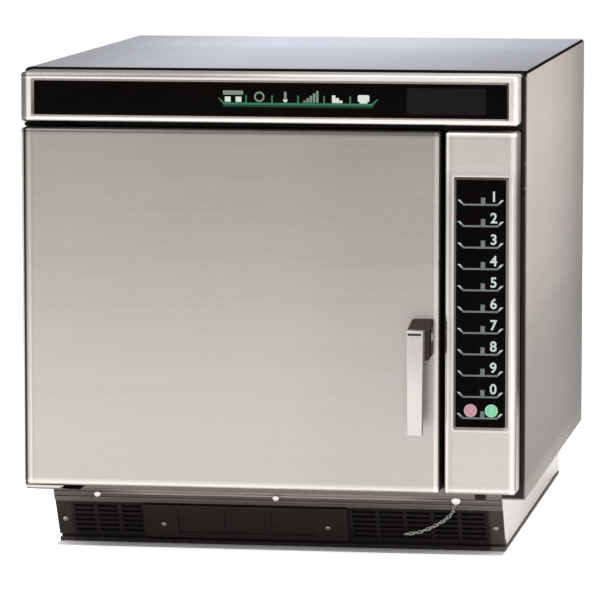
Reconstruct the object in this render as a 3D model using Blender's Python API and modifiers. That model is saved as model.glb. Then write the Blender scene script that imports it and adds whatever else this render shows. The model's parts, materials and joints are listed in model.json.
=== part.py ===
"""Countertop speed oven: a wrapped steel case on a louvred plinth, a hinged door with a pull
handle, a cavity with rack, fan and heater, and the microwave and cooling gear around it.

Metres, +Z up. The origin is the centre of the footprint, on the surface the oven stands on.
The front faces -Y and the door is hinged at -X.
"""
import math

import bmesh
import bpy
from mathutils import Matrix, Vector

# Overall driving sizes
CASE_WIDTH = 0.489
CASE_TOP = 0.471
CASE_BOTTOM = 0.058
CASE_DEPTH = 0.580
FASCIA_DEPTH = 0.043
HANDLE_REACH = 0.044
CASE_SHEET = 0.0012
CASE_BEND = 0.004
PAN_SHEET = 0.0015
REAR_RECESS = 0.008

# Clearance between pieces that touch, and how far a cutter runs past what it cuts
TOUCH = 0.0003
OVERRUN = 0.002
RUNNING = 0.0005

# Fascia: door, control panel and display bezel share one front plane
FACE_INSET = 0.0045
FACE_SHEET = 0.001
FACE_BEND = 0.005
BEZEL_TOP_GAP = 0.002
BEZEL_HEIGHT = 0.0475
FASCIA_GAP = 0.0059
PANEL_WIDTH = 0.069
DOOR_HEIGHT = 0.347
PANEL_GAP = 0.005
DOOR_BACK_GAP = 0.0045

# Display window and keypad
WINDOW_LEFT = 0.0134
WINDOW_RIGHT = 0.0093
WINDOW_DROP = 0.0086
WINDOW_HEIGHT = 0.0333
WINDOW_THICKNESS = 0.0025
WINDOW_CORNER = 0.002
VFD_WIDTH = 0.079
VFD_HEIGHT = 0.025
VFD_DEPTH = 0.006
VFD_INSET = 0.016
BOARD_THICKNESS = 0.0016
DISPLAY_BOARD_WIDTH = 0.280
DISPLAY_BOARD_HEIGHT = 0.029
KEYPAD_WIDTH = 0.048
KEYPAD_HEIGHT = 0.2383
KEYPAD_DROP = 0.045
KEYPAD_LEFT = 0.011
KEYPAD_THICKNESS = 0.0018
KEYPAD_CORNER = 0.0015

# Handle: a bar that hangs from one standoff
HANDLE_WIDTH = 0.016
HANDLE_FOOT_SHARE = 0.875
HANDLE_HEIGHT = 0.099
HANDLE_EDGE_INSET = 0.010
HANDLE_DROP = 0.1866
HANDLE_BAR = 0.012
HANDLE_STANDOFF = 0.029
HANDLE_THROAT = 0.006
HANDLE_ROUND = 0.0012
STUD_RADIUS = 0.0025
STUD_REACH = 0.0038
STUD_SPACING = 0.0145

# Cavity
CAVITY_DOOR_MARGIN = 0.038
CAVITY_HEIGHT = 0.267
CAVITY_DEPTH = 0.381
CAVITY_SHEET = 0.0012
CAVITY_CORNER = 0.002
SHELF_HEIGHT = 0.016
SHELF_THICKNESS = 0.005
SHELF_GAP = 0.001
SHELF_CORNER = 0.0065
INSULATION = 0.018
WIRE = 0.0025
RACK_WIRE = 0.0015
RACK_DEPTH = 0.310
RACK_SETBACK = 0.034
RACK_WIRES = 9
RACK_SIDE_GAP = 0.0084
LADDER_LEVELS = 3
LADDER_PITCH = 0.068
LADDER_FIRST = 0.050
LADDER_POST_SPACING = 0.260
LADDER_RAIL = 0.350
RAIL_STEP = 0.004

# Microwave feed
GUIDE_WIDTH = 0.080
GUIDE_HEIGHT = 0.025
GUIDE_SHEET = 0.001
GUIDE_END = 0.042
FEED_HOLE = 0.016
FEED_WINDOW = 0.040
FEED_COVER = 0.064
FEED_COVER_THICKNESS = 0.001
MAGNETRON_WIDTH = 0.080
MAGNETRON_DEPTH = 0.086
MAGNETRON_HEIGHT = 0.080
MAGNETRON_YOKE = 0.0025
MAGNETRON_CORE = 0.021
MAGNETRON_FINS = 5
MAGNETRON_FIN = 0.0012
ANTENNA_RADIUS = 0.008
ANTENNA_LENGTH = 0.018
STIRRER_RADIUS = 0.070
STIRRER_HUB = 0.020
STIRRER_ARM = 0.014
STIRRER_ARMS = 3
STIRRER_PLATE = 0.0015
STIRRER_ARM_SHARE = 0.8
STIRRER_SHAFT = 0.003
STIRRER_RISE = 0.004
STIRRER_MOTOR_RADIUS = 0.025
STIRRER_MOTOR_HEIGHT = 0.018

# Convection gear behind the cavity
BAFFLE_LIP = 0.010
BAFFLE_HOLE = 0.005
BAFFLE_RINGS = 4
BAFFLE_RIM_SHARE = 0.875
OUTLET_LENGTH = 0.070
OUTLET_WIDTH = 0.008
OUTLET_INSET = 0.020
PLENUM_SIDE = 0.030
PLENUM_HEIGHT = 0.240
PLENUM_DEPTH = 0.052
PLENUM_BEND = 0.006
FAN_ELEMENT_GAP = 0.016
FAN_BLADES = 10
FAN_BLADE_INNER = 0.034
FAN_BLADE_THICKNESS = 0.0015
FAN_WIDTH = 0.028
FAN_HUB = 0.012
FAN_DISC = 0.0015
FAN_SHAFT = 0.004
ELEMENT_SIDE = 0.026
ELEMENT_TUBE = 0.0035
ELEMENT_LEG_SPACING = 0.030
ELEMENT_TAIL = 0.012
MOTOR_RADIUS = 0.038
MOTOR_LENGTH = 0.056
MOTOR_FLANGE = 0.050
MOTOR_FLANGE_THICKNESS = 0.004
MOTOR_STANDOFF = 0.040
MOTOR_BOLT_CIRCLE = 0.043
MOTOR_BORE_DEPTH = 0.030
MOTOR_POSTS = 4
POST_RADIUS = 0.004
BOARD_POST = 0.008

# Cooling and power gear
BLOWER_WIDTH = 0.082
BLOWER_DEPTH = 0.122
BLOWER_HEIGHT = 0.130
BLOWER_SHEET = 0.0015
BLOWER_ROUND = 0.020
BLOWER_SETBACK = 0.020
BLOWER_INLET = 0.032
WHEEL_RADIUS = 0.045
WHEEL_WIDTH = 0.040
WHEEL_BLADES = 16
WHEEL_BLADE_DEPTH = 0.010
WHEEL_BLADE = 0.0015
WHEEL_RING = 0.0025
WHEEL_GAP = 0.006
BLOWER_MOTOR_RADIUS = 0.024
BLOWER_SHAFT = 0.003
BLOWER_SHAFT_LENGTH = 0.012
BLOWER_MOTOR_GAP = 0.004
TRANSFORMER_WIDTH = 0.090
TRANSFORMER_HEIGHT = 0.078
TRANSFORMER_CORE = 0.056
TRANSFORMER_COIL_WIDTH = 0.058
TRANSFORMER_COIL_DEPTH = 0.086
TRANSFORMER_COIL_HEIGHT = 0.046
TRANSFORMER_COIL_CORNER = 0.010
TRANSFORMER_PITCH = 0.100
TRANSFORMER_FIRST = 0.020
CAPACITOR_WIDTH = 0.050
CAPACITOR_DEPTH = 0.032
CAPACITOR_HEIGHT = 0.088
CAPACITOR_GAP = 0.012
CAPACITOR_CORNER = 0.0144
REAR_GEAR_GAP = 0.010
CONTROL_BOARD_WIDTH = 0.062
CONTROL_BOARD_HEIGHT = 0.200
CONTROL_BOARD_LOW = 0.190
RELAY_SIZE = 0.018
RELAY_COUNT = 4
PROBE_RADIUS = 0.003
PROBE_IN = 0.035
PROBE_OUT = 0.016
PROBE_DROP = 0.025
PROBE_FROM_BACK = 0.034
DUCT_WIDTH = 0.076
DUCT_HEIGHT = 0.030
DUCT_IN = 0.064
DUCT_SHEET = 0.001
DUCT_HOLE = 0.006
DUCT_HOLES = 3
GLAND_RADIUS = 0.0095
GLAND_FLANGE = 0.014
GLAND_FLANGE_THICKNESS = 0.003
GLAND_LENGTH = 0.020
GLAND_BORE = 0.005
GLAND_FROM_SIDE = 0.055
GLAND_HEIGHT = 0.104

# Door inside
DOOR_FRAME_MARGIN = 0.014
DOOR_FRAME_WIDTH = 0.030
CHOKE_WIDTH = 0.012
CHOKE_DEPTH = 0.020
BACK_COVER = 0.002
INNER_PLATE = 0.0012
SEAL_WIDTH = 0.008
SEAL_MARGIN = 0.004
SEAL_GAP = 0.0005
HINGE_INSET = 0.011
HINGE_SETBACK = 0.0215
HINGE_PIN = 0.004
HINGE_REACH = 0.018
HINGE_PLATE = 0.003
HINGE_PLATE_WIDTH = 0.042
HINGE_PLATE_INSET = 0.002
HINGE_PLATE_FRONT = 0.006
HINGE_TAB_WIDTH = 0.016
HINGE_TAB_HEIGHT = 0.012
HINGE_TAB_SHEET = 0.0015
HINGE_DOOR_GAP = 0.0016
HINGE_TAB_DROP = 0.003
HINGE_BLOCK = 0.018
HINGE_BLOCK_HEIGHT = 0.015

# Latch
LATCH_FROM_EDGE = 0.018
LATCH_BAR = 0.003
LATCH_BAR_DEPTH = 0.022
LATCH_BAR_SETBACK = 0.006
LATCH_LENGTH = 0.205
LATCH_TRAVEL = 0.005
LATCH_HOOK_SPACING = 0.150
LATCH_HOOK_HEIGHT = 0.010
LATCH_HOOK_REACH = 0.024
LATCH_NOSE = 0.004
LATCH_NOSE_LENGTH = 0.007
LATCH_SLOT_SIDE = 0.009
LATCH_SLOT_END = 0.003
LATCH_GUIDE = 0.010
LATCH_GUIDE_SPACING = 0.075
SPRING_RADIUS = 0.0035
SPRING_WIRE = 0.0006
SPRING_LENGTH = 0.022
SPRING_TURNS = 8
SPRING_STEPS = 10
SWITCH_WIDTH = 0.011
SWITCH_DEPTH = 0.028
SWITCH_HEIGHT = 0.016
SWITCH_GAP = 0.001
SWITCH_BRACKET = 0.0015

# Plinth
PLINTH_INSET = 0.0235
PLINTH_SHEET = 0.0015
PLINTH_FLANGE = 0.030
PLINTH_BACK_GAP = 0.010
FOOT_HEIGHT = 0.003
FOOT_RADIUS = 0.011
FOOT_FRONT = 0.050
FOOT_BACK = 0.024
RAKE_TOP = 0.010
RAKE_BOTTOM = 0.040
LIP_SETBACK = 0.050
LIP_HEIGHT = 0.005
RAIL_HEIGHT = 0.0135
RAIL_PROUD = 0.002
RAIL_RIDGE = 0.0016
RAIL_RIDGE_SHARES = (0.30, 0.70)
RIDGE_STEPS = 4
GRILLE_WALL = 0.003
END_PLATE = 0.016
SLOT_HEIGHT = 0.003
SLOT_PITCH = 0.0052
SLOT_ROWS = 6
SLOT_TOP = 0.041
SLOT_BAR = 0.004
LEFT_COLUMNS = 3
LEFT_LOUVRE = 0.071
RIGHT_COLUMNS = 5
RIGHT_LOUVRE = 0.134
END_SCREW_HEIGHT = 0.0248
COVER_LEFT = 0.0874
COVER_RIGHT = 0.1529
COVER_TOP = 0.0425
COVER_BOTTOM = 0.0075
COVER_THICKNESS = 0.004
COVER_END = 0.034
COVER_RIB = 0.004
COVER_PANELS = 3
COVER_RECESS = 0.0015
COVER_RIM = 0.005
FILTER_MARGIN = 0.012
FILTER_THICKNESS = 0.006
FILTER_BARS = 0.0018
FILTER_CELL = 0.011

# Rear panel
VENT_SLOT = 0.003
VENT_PITCH = 0.009
VENT_LENGTH = 0.110
VENT_ROWS = 9
VENT_LOW = 0.290
VENT_FROM_SIDE = 0.030
EXHAUST_ROWS = 3

# Round pieces
FINE = 32
COARSE = 16
SMALL = 10
FEW = 8
HEX = 6
CORNER_STEPS = 4
SMOOTH_ANGLE = math.radians(35)

# Places worked out from the sizes above
HALF = CASE_WIDTH / 2
TOTAL_DEPTH = HANDLE_REACH + FASCIA_DEPTH + CASE_DEPTH
FACE_Y = HANDLE_REACH - TOTAL_DEPTH / 2
FRONT_Y = FACE_Y + FASCIA_DEPTH
BACK_Y = TOTAL_DEPTH / 2
INNER = HALF - CASE_SHEET - TOUCH
PAN_TOP = CASE_BOTTOM + PAN_SHEET
PLATE_LOW = PAN_TOP + TOUCH
PLATE_HIGH = CASE_TOP - CASE_SHEET - TOUCH
FRAME_BACK = FRONT_Y + CASE_SHEET
REAR_FACE = BACK_Y - REAR_RECESS
REAR_INNER = REAR_FACE - CASE_SHEET

FASCIA_LEFT = FACE_INSET - HALF
FASCIA_RIGHT = HALF - FACE_INSET
FASCIA_BACK = FRONT_Y - TOUCH
BEZEL_HIGH = CASE_TOP - BEZEL_TOP_GAP
BEZEL_LOW = BEZEL_HIGH - BEZEL_HEIGHT
DOOR_HIGH = BEZEL_LOW - FASCIA_GAP
DOOR_LOW = DOOR_HIGH - DOOR_HEIGHT
PANEL_LEFT = FASCIA_RIGHT - PANEL_WIDTH
DOOR_RIGHT = PANEL_LEFT - PANEL_GAP
DOOR_BACK = FRONT_Y - DOOR_BACK_GAP

CAVITY_X = (FASCIA_LEFT + DOOR_RIGHT) / 2
CAVITY_Z = (DOOR_LOW + DOOR_HIGH) / 2
CAVITY_LEFT = FASCIA_LEFT + CAVITY_DOOR_MARGIN
CAVITY_RIGHT = DOOR_RIGHT - CAVITY_DOOR_MARGIN
CAVITY_WIDTH = CAVITY_RIGHT - CAVITY_LEFT
CAVITY_LOW = CAVITY_Z - CAVITY_HEIGHT / 2
CAVITY_HIGH = CAVITY_Z + CAVITY_HEIGHT / 2
LINER_FLOOR = CAVITY_LOW - SHELF_HEIGHT
LINER_FRONT = FRAME_BACK + TOUCH
LINER_BACK = LINER_FRONT + CAVITY_DEPTH
LINER_LOW = LINER_FLOOR - CAVITY_SHEET
LINER_HIGH = CAVITY_HIGH + CAVITY_SHEET
LINER_LEFT = CAVITY_LEFT - CAVITY_SHEET
LINER_RIGHT = CAVITY_RIGHT + CAVITY_SHEET
CAVITY_Y = (LINER_FRONT + LINER_BACK) / 2
PLENUM_WIDTH = CAVITY_WIDTH - 2 * PLENUM_SIDE
ELEMENT_RING = min(PLENUM_WIDTH, PLENUM_HEIGHT) / 2 - ELEMENT_SIDE
FAN_RADIUS = ELEMENT_RING - FAN_ELEMENT_GAP
BAFFLE_RING_STEP = FAN_RADIUS / (BAFFLE_RINGS + BAFFLE_RIM_SHARE)

BAFFLE_FRONT = LINER_BACK + TOUCH
BAFFLE_BACK = BAFFLE_FRONT + CAVITY_SHEET
PLENUM_FRONT = BAFFLE_BACK + TOUCH
PLENUM_BACK = PLENUM_FRONT + PLENUM_DEPTH
SLAB_FRONT = PLENUM_BACK + TOUCH
SLAB_BACK = SLAB_FRONT + INSULATION
MOTOR_FRONT = PLENUM_BACK + TOUCH + MOTOR_STANDOFF

GEAR_RIGHT = INNER - OVERRUN
GEAR_LEFT = GEAR_RIGHT - BLOWER_WIDTH
MAGNETRON_X = GEAR_RIGHT - MAGNETRON_WIDTH / 2
LOWER_GUIDE_TOP = LINER_LOW - TOUCH
UPPER_GUIDE_LOW = LINER_HIGH + TOUCH

HINGE_X = FASCIA_LEFT + HINGE_INSET
HINGE_Y = FACE_Y + HINGE_SETBACK
LATCH_X = DOOR_RIGHT - LATCH_FROM_EDGE
LATCH_LOW = CAVITY_Z - LATCH_LENGTH / 2
LATCH_HIGH = CAVITY_Z + LATCH_LENGTH / 2
LATCH_FRONT = FACE_Y + LATCH_BAR_SETBACK
PLINTH_HALF = HALF - PLINTH_INSET
RAIL_LOW = CASE_BOTTOM - TOUCH - RAIL_HEIGHT
GRILLE_TOP = RAIL_LOW - TOUCH
LIP_TOP = FOOT_HEIGHT + LIP_HEIGHT
HANDLE_TOP = DOOR_HIGH - HANDLE_DROP
HANDLE_X = DOOR_RIGHT - HANDLE_EDGE_INSET - HANDLE_WIDTH / 2

# Finishes: base colour, roughness, metallic
FINISHES = {
    "brushed_steel": ((0.62, 0.60, 0.58), 0.34, 1.0),
    "galvanised": ((0.55, 0.56, 0.57), 0.50, 0.9),
    "black_steel": ((0.035, 0.031, 0.029), 0.55, 0.3),
    "rail_steel": ((0.20, 0.175, 0.16), 0.40, 0.7),
    "black_plastic": ((0.022, 0.020, 0.019), 0.50, 0.0),
    "black_gloss": ((0.006, 0.006, 0.007), 0.12, 0.0),
    "bright_steel": ((0.78, 0.77, 0.76), 0.22, 1.0),
    "ceramic": ((0.72, 0.70, 0.64), 0.55, 0.0),
    "wool": ((0.74, 0.66, 0.48), 0.95, 0.0),
    "silicone": ((0.06, 0.06, 0.06), 0.70, 0.0),
    "board": ((0.03, 0.16, 0.07), 0.45, 0.0),
    "rubber": ((0.018, 0.018, 0.018), 0.85, 0.0),
    "mica": ((0.58, 0.52, 0.40), 0.35, 0.0),
    "aluminium": ((0.70, 0.71, 0.72), 0.38, 1.0),
}
FINISH_SUFFIX = "_finish"
PARTS_NAME = "speed_oven"
AXES = {"X": Matrix.Rotation(math.radians(90), 4, "Y"),
        "Y": Matrix.Rotation(math.radians(-90), 4, "X"),
        "Z": Matrix.Identity(4)}
FACE_NORMALS = {"front": (0, -1, 0), "back": (0, 1, 0), "left": (-1, 0, 0),
                "right": (1, 0, 0), "top": (0, 0, 1), "bottom": (0, 0, -1)}


# Scene helpers
def clear_scene():
    for thing in list(bpy.data.objects):
        bpy.data.objects.remove(thing, do_unlink=True)


def collection(name):
    group = bpy.data.collections.get(name)
    if group is None:
        group = bpy.data.collections.new(name)
        bpy.context.scene.collection.children.link(group)
    return group


def give_material(thing, finish):
    colour, roughness, metallic = FINISHES[finish]
    material = bpy.data.materials.new(thing.name + FINISH_SUFFIX)
    material.use_nodes = True
    shader = material.node_tree.nodes["Principled BSDF"]
    shader.inputs["Base Color"].default_value = (*colour, 1.0)
    shader.inputs["Roughness"].default_value = roughness
    shader.inputs["Metallic"].default_value = metallic
    thing.data.materials.clear()
    thing.data.materials.append(material)


def add_object(name, bm, origin, finish=None, smooth=False):
    """Turn a bmesh in world coordinates into an object whose origin is at the given point."""
    bmesh.ops.translate(bm, verts=bm.verts, vec=-Vector(origin))
    mesh = bpy.data.meshes.new(name)
    bm.to_mesh(mesh)
    bm.free()
    if smooth:
        mesh.shade_smooth()
        mesh.set_sharp_from_angle(angle=SMOOTH_ANGLE)
    thing = bpy.data.objects.new(name, mesh)
    thing.location = origin
    if finish is None:
        collection("cutters").objects.link(thing)
        thing.hide_render = True
        thing.display_type = "WIRE"
    else:
        collection(PARTS_NAME).objects.link(thing)
        give_material(thing, finish)
    return thing


def middle(low, high):
    return [(a + b) / 2 for a, b in zip(low, high)]


def add_box(bm, low, high):
    size = [b - a for a, b in zip(low, high)]
    matrix = Matrix.Translation(middle(low, high)) @ Matrix.Diagonal((*size, 1))
    return bmesh.ops.create_cube(bm, size=1, matrix=matrix)["verts"]


def add_rod(bm, start, axis, length, radius, sides):
    """A cylinder from its start point along +axis."""
    along = Vector([length / 2 if letter == axis else 0 for letter in "XYZ"])
    matrix = Matrix.Translation(Vector(start) + along) @ AXES[axis]
    bmesh.ops.create_cone(bm, cap_ends=True, segments=sides, radius1=radius, radius2=radius,
                          depth=length, matrix=matrix)


def round_edges(bm, axis, radius, steps):
    """Round the edges of a box that run along one axis."""
    lane = "XYZ".index(axis)
    edges = [e for e in bm.edges
             if abs(abs((e.verts[1].co - e.verts[0].co).normalized()[lane]) - 1) < TOUCH]
    bmesh.ops.bevel(bm, geom=edges, offset=radius, segments=steps, affect="EDGES", profile=0.5)


def soften(thing, width, steps=2):
    bevel = thing.modifiers.new("edge", "BEVEL")
    bevel.width = width
    bevel.segments = steps
    bevel.limit_method = "ANGLE"


def block(name, low, high, finish, along=None, corner=0, steps=3):
    """A box between two corners; the edges along one axis can be rounded."""
    bm = bmesh.new()
    add_box(bm, low, high)
    if along:
        round_edges(bm, along, corner, steps)
    return add_object(name, bm, middle(low, high), finish)


def blocks(name, boxes, finish):
    """Several separate boxes in one piece, each given by two corners."""
    bm = bmesh.new()
    for low, high in boxes:
        add_box(bm, low, high)
    return add_object(name, bm, middle(*boxes[0]), finish)


def rods(name, starts, axis, length, radius, finish, sides=COARSE):
    """Several cylinders alike, each from its start point along one axis."""
    bm = bmesh.new()
    for start in starts:
        add_rod(bm, start, axis, length, radius, sides)
    return add_object(name, bm, starts[0], finish, smooth=True)


def shell(name, low, high, open_sides, wall, bend, finish, steps=3):
    """Folded sheet: a box that lacks some sides, with bent edges and one wall thickness."""
    bm = bmesh.new()
    add_box(bm, low, high)
    bm.normal_update()
    gone = [f for f in bm.faces
            if any(f.normal.dot(Vector(FACE_NORMALS[side])) > 0.5 for side in open_sides)]
    bmesh.ops.delete(bm, geom=gone, context="FACES")
    thing = add_object(name, bm, middle(low, high), finish)
    soften(thing, bend, steps)
    sheet = thing.modifiers.new("sheet", "SOLIDIFY")
    sheet.thickness = wall
    sheet.offset = -1
    sheet.use_even_offset = True
    return thing


def combine(target, tool, operation):
    change = target.modifiers.new(tool.name, "BOOLEAN")
    change.operation = operation
    change.object = tool
    return target


def cut_boxes(target, name, boxes):
    return combine(target, blocks(name, boxes, None), "DIFFERENCE")


def cut_rods(target, name, starts, axis, length, radius, sides=COARSE):
    return combine(target, rods(name, starts, axis, length, radius, None, sides), "DIFFERENCE")


def weld_boxes(target, name, boxes):
    return combine(target, blocks(name, boxes, None), "UNION")


def weld_rods(target, name, starts, axis, length, radius, sides=COARSE):
    return combine(target, rods(name, starts, axis, length, radius, None, sides), "UNION")


def side_outline(name, points, left, right, finish):
    """A flat outline in Y and Z, made as thick as the space between two X places."""
    curve = bpy.data.curves.new(name, "CURVE")
    curve.dimensions = "2D"
    curve.fill_mode = "BOTH"
    curve.extrude = (right - left) / 2
    line = curve.splines.new("POLY")
    line.points.add(len(points) - 1)
    line.use_cyclic_u = True
    for point, (y, z) in zip(line.points, points):
        point.co = (y, z, 0, 1)
    thing = bpy.data.objects.new(name, curve)
    collection(PARTS_NAME).objects.link(thing)
    # The outline's first axis turns to +Y and its second to +Z
    turn = Matrix(((0, 0, 1, 0), (1, 0, 0, 0), (0, 1, 0, 0), (0, 0, 0, 1)))
    thing.matrix_world = Matrix.Translation(((left + right) / 2, 0, 0)) @ turn
    return as_mesh(thing, finish)


def as_mesh(curve_thing, finish, smooth=False):
    """Swap a curve object for the mesh it evaluates to, with its caps welded."""
    bpy.context.view_layer.update()
    seen = curve_thing.evaluated_get(bpy.context.evaluated_depsgraph_get())
    mesh = bpy.data.meshes.new_from_object(seen)
    bm = bmesh.new()
    bm.from_mesh(mesh)
    bmesh.ops.remove_doubles(bm, verts=bm.verts, dist=TOUCH / 10)
    bm.transform(curve_thing.matrix_world)
    name = curve_thing.name
    bpy.data.meshes.remove(mesh)
    bpy.data.objects.remove(curve_thing, do_unlink=True)
    corners = [v.co for v in bm.verts]
    low = [min(c[i] for c in corners) for i in range(3)]
    high = [max(c[i] for c in corners) for i in range(3)]
    return add_object(name, bm, middle(low, high), finish, smooth)


def wire(name, points, radius, finish, closed=False, resolution=1):
    """A round wire through the points."""
    curve = bpy.data.curves.new(name, "CURVE")
    curve.dimensions = "3D"
    curve.bevel_depth = radius
    curve.bevel_resolution = resolution
    curve.use_fill_caps = True
    line = curve.splines.new("POLY")
    line.points.add(len(points) - 1)
    line.use_cyclic_u = closed
    for point, place in zip(line.points, points):
        point.co = (*place, 1)
    thing = bpy.data.objects.new(name, curve)
    collection(PARTS_NAME).objects.link(thing)
    return as_mesh(thing, finish, smooth=True)


def turned(name, profile, centre, axis, finish, sides=FINE):
    """A closed profile of (radius, height) pairs turned about an axis through the centre."""
    bm = bmesh.new()
    verts = [bm.verts.new((radius, 0, height)) for radius, height in profile]
    for first, second in zip(verts, verts[1:] + verts[:1]):
        bm.edges.new((first, second))
    mesh = bpy.data.meshes.new(name)
    bm.to_mesh(mesh)
    bm.free()
    thing = bpy.data.objects.new(name, mesh)
    thing.matrix_world = Matrix.Translation(centre) @ AXES[axis]
    collection(PARTS_NAME).objects.link(thing)
    give_material(thing, finish)
    screw = thing.modifiers.new("turn", "SCREW")
    screw.steps = sides
    screw.render_steps = sides
    screw.use_merge_vertices = True
    screw.merge_threshold = TOUCH / 10
    return thing


def pivot(name, place, things):
    """An empty on a joint's axis that carries the pieces of one moving body."""
    empty = bpy.data.objects.new(name, None)
    empty.location = place
    collection(PARTS_NAME).objects.link(empty)
    for thing in things:
        thing.parent = empty
        thing.location = Vector(thing.location) - Vector(place)
    return empty


def around(count, radius, phase=0):
    """Evenly spaced points on a circle, as pairs."""
    turns = [phase + 2 * math.pi * i / count for i in range(count)]
    return [(radius * math.cos(a), radius * math.sin(a)) for a in turns]


# Case
def case_wrap():
    return shell("case_wrap", (-HALF, FRONT_Y, CASE_BOTTOM), (HALF, BACK_Y, CASE_TOP),
                 ("front", "back", "bottom"), CASE_SHEET, CASE_BEND, "brushed_steel")


def base_pan():
    pan = block("base_pan", (-INNER, FRONT_Y, CASE_BOTTOM), (INNER, BACK_Y, PAN_TOP), "galvanised")
    shaft_hole = (CAVITY_X, CAVITY_Y, CASE_BOTTOM - OVERRUN)
    cut_rods(pan, "pan_shaft_hole", [shaft_hole], "Z", PAN_SHEET + 2 * OVERRUN,
             STIRRER_SHAFT + RUNNING * 2)
    inlet_low = (GEAR_LEFT + BLOWER_ROUND, blower_y()[0] + BLOWER_ROUND, CASE_BOTTOM - OVERRUN)
    inlet_high = (GEAR_RIGHT - BLOWER_ROUND, blower_y()[1] - BLOWER_ROUND, PAN_TOP + OVERRUN)
    return cut_boxes(pan, "pan_air_inlet", [(inlet_low, inlet_high)])


def hook_heights():
    return [CAVITY_Z - LATCH_HOOK_SPACING / 2, CAVITY_Z + LATCH_HOOK_SPACING / 2]


def hook_slots(front, back):
    """Boxes that the latch hooks pass through, at every height of their travel."""
    left = LATCH_X - LATCH_BAR / 2 - LATCH_SLOT_SIDE
    right = LATCH_X + LATCH_BAR / 2 + LATCH_SLOT_SIDE
    boxes = []
    for z in hook_heights():
        low = z - LATCH_HOOK_HEIGHT / 2 - LATCH_NOSE - LATCH_SLOT_END
        high = z + LATCH_HOOK_HEIGHT / 2 + LATCH_TRAVEL + LATCH_SLOT_END
        boxes.append(((left, front, low), (right, back, high)))
    return boxes


def front_frame():
    frame = block("front_frame", (-INNER, FRONT_Y, PLATE_LOW), (INNER, FRAME_BACK, PLATE_HIGH),
                  "brushed_steel", "Y", CASE_BEND)
    window = ((CAVITY_LEFT, FRONT_Y - OVERRUN, CAVITY_LOW),
              (CAVITY_RIGHT, FRAME_BACK + OVERRUN, CAVITY_HIGH))
    cut_boxes(frame, "frame_window", [window])
    return cut_boxes(frame, "frame_hook_slots", hook_slots(FRONT_Y - OVERRUN, FRAME_BACK + OVERRUN))


def gland_place():
    return (INNER - GLAND_FROM_SIDE, REAR_FACE, GLAND_HEIGHT)


def rear_panel():
    panel = block("rear_panel", (-INNER, REAR_INNER, PLATE_LOW), (INNER, REAR_FACE, PLATE_HIGH),
                  "brushed_steel", "Y", CASE_BEND)
    front, back = REAR_INNER - OVERRUN, REAR_FACE + OVERRUN
    vents = []
    for row in range(VENT_ROWS):
        z = VENT_LOW + row * VENT_PITCH
        for left in (VENT_FROM_SIDE - INNER, INNER - VENT_FROM_SIDE - VENT_LENGTH):
            vents.append(((left, front, z), (left + VENT_LENGTH, back, z + VENT_SLOT)))
    for row in range(EXHAUST_ROWS):
        z = UPPER_GUIDE_LOW + DUCT_HEIGHT / 2 + (row - (EXHAUST_ROWS - 1) / 2) * VENT_PITCH
        half = DUCT_WIDTH / 2 - DUCT_HOLE
        vents.append(((CAVITY_X - half, front, z - VENT_SLOT / 2),
                      (CAVITY_X + half, back, z + VENT_SLOT / 2)))
    cut_boxes(panel, "rear_vents", vents)
    x, _, z = gland_place()
    cut_rods(panel, "gland_hole", [(x, front, z)], "Y", back - front, GLAND_RADIUS + TOUCH, FINE)
    return panel


def cord_gland():
    x, y, z = gland_place()
    inner = REAR_INNER - GLAND_LENGTH - y
    outer = GLAND_FLANGE_THICKNESS + TOUCH
    profile = [(GLAND_BORE, outer), (GLAND_FLANGE, outer), (GLAND_FLANGE, TOUCH),
               (GLAND_RADIUS, TOUCH), (GLAND_RADIUS, inner), (GLAND_BORE, inner)]
    return turned("cord_gland", profile, (x, y, z), "Y", "black_plastic")


# Plinth
def rake(z):
    """Depth of the raked plinth front at a height."""
    share = (CASE_BOTTOM - z) / (CASE_BOTTOM - LIP_TOP)
    return FRONT_Y + RAKE_TOP + (RAKE_BOTTOM - RAKE_TOP) * share


def plinth_side(name, sign):
    outer = sign * PLINTH_HALF
    inner = sign * (PLINTH_HALF - PLINTH_FLANGE)
    back = BACK_Y - PLINTH_BACK_GAP
    low = (min(outer, inner), FRONT_Y + RAKE_TOP, FOOT_HEIGHT)
    high = (max(outer, inner), back, CASE_BOTTOM - TOUCH)
    open_sides = ("front", "back", "top", "left" if sign > 0 else "right")
    side = shell(name, low, high, open_sides, PLINTH_SHEET, PLINTH_SHEET * 2, "brushed_steel")
    # The front edge follows the back of the raked grille and its lip
    clear = GRILLE_WALL + TOUCH
    ahead = FRONT_Y - OVERRUN
    points = [(ahead, CASE_BOTTOM + OVERRUN), (rake(CASE_BOTTOM + OVERRUN) + clear, CASE_BOTTOM + OVERRUN),
              (rake(LIP_TOP) + clear, LIP_TOP + clear),
              (FRONT_Y + LIP_SETBACK + clear, LIP_TOP + clear),
              (FRONT_Y + LIP_SETBACK + clear, FOOT_HEIGHT - OVERRUN), (ahead, FOOT_HEIGHT - OVERRUN)]
    cutter = side_outline(name + "_rake", points, low[0] - OVERRUN, high[0] + OVERRUN, None)
    return combine(side, cutter, "DIFFERENCE")


def front_rail():
    """The strip above the louvres: raked, with two pressed ridges."""
    top = CASE_BOTTOM - TOUCH
    points = [(rake(top) - RAIL_PROUD, top)]
    for share in RAIL_RIDGE_SHARES:
        z = top - RAIL_HEIGHT * share
        for step in range(RIDGE_STEPS + 1):
            turn = math.pi * step / RIDGE_STEPS
            bump = RAIL_RIDGE * math.sin(turn)
            height = z + RAIL_RIDGE * math.cos(turn)
            points.append((rake(height) - RAIL_PROUD - bump, height))
    points += [(rake(RAIL_LOW) - RAIL_PROUD, RAIL_LOW), (rake(RAIL_LOW) + GRILLE_WALL, RAIL_LOW),
               (rake(top) + GRILLE_WALL, top)]
    return side_outline("front_rail", points, -PLINTH_HALF, PLINTH_HALF, "rail_steel")


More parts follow.
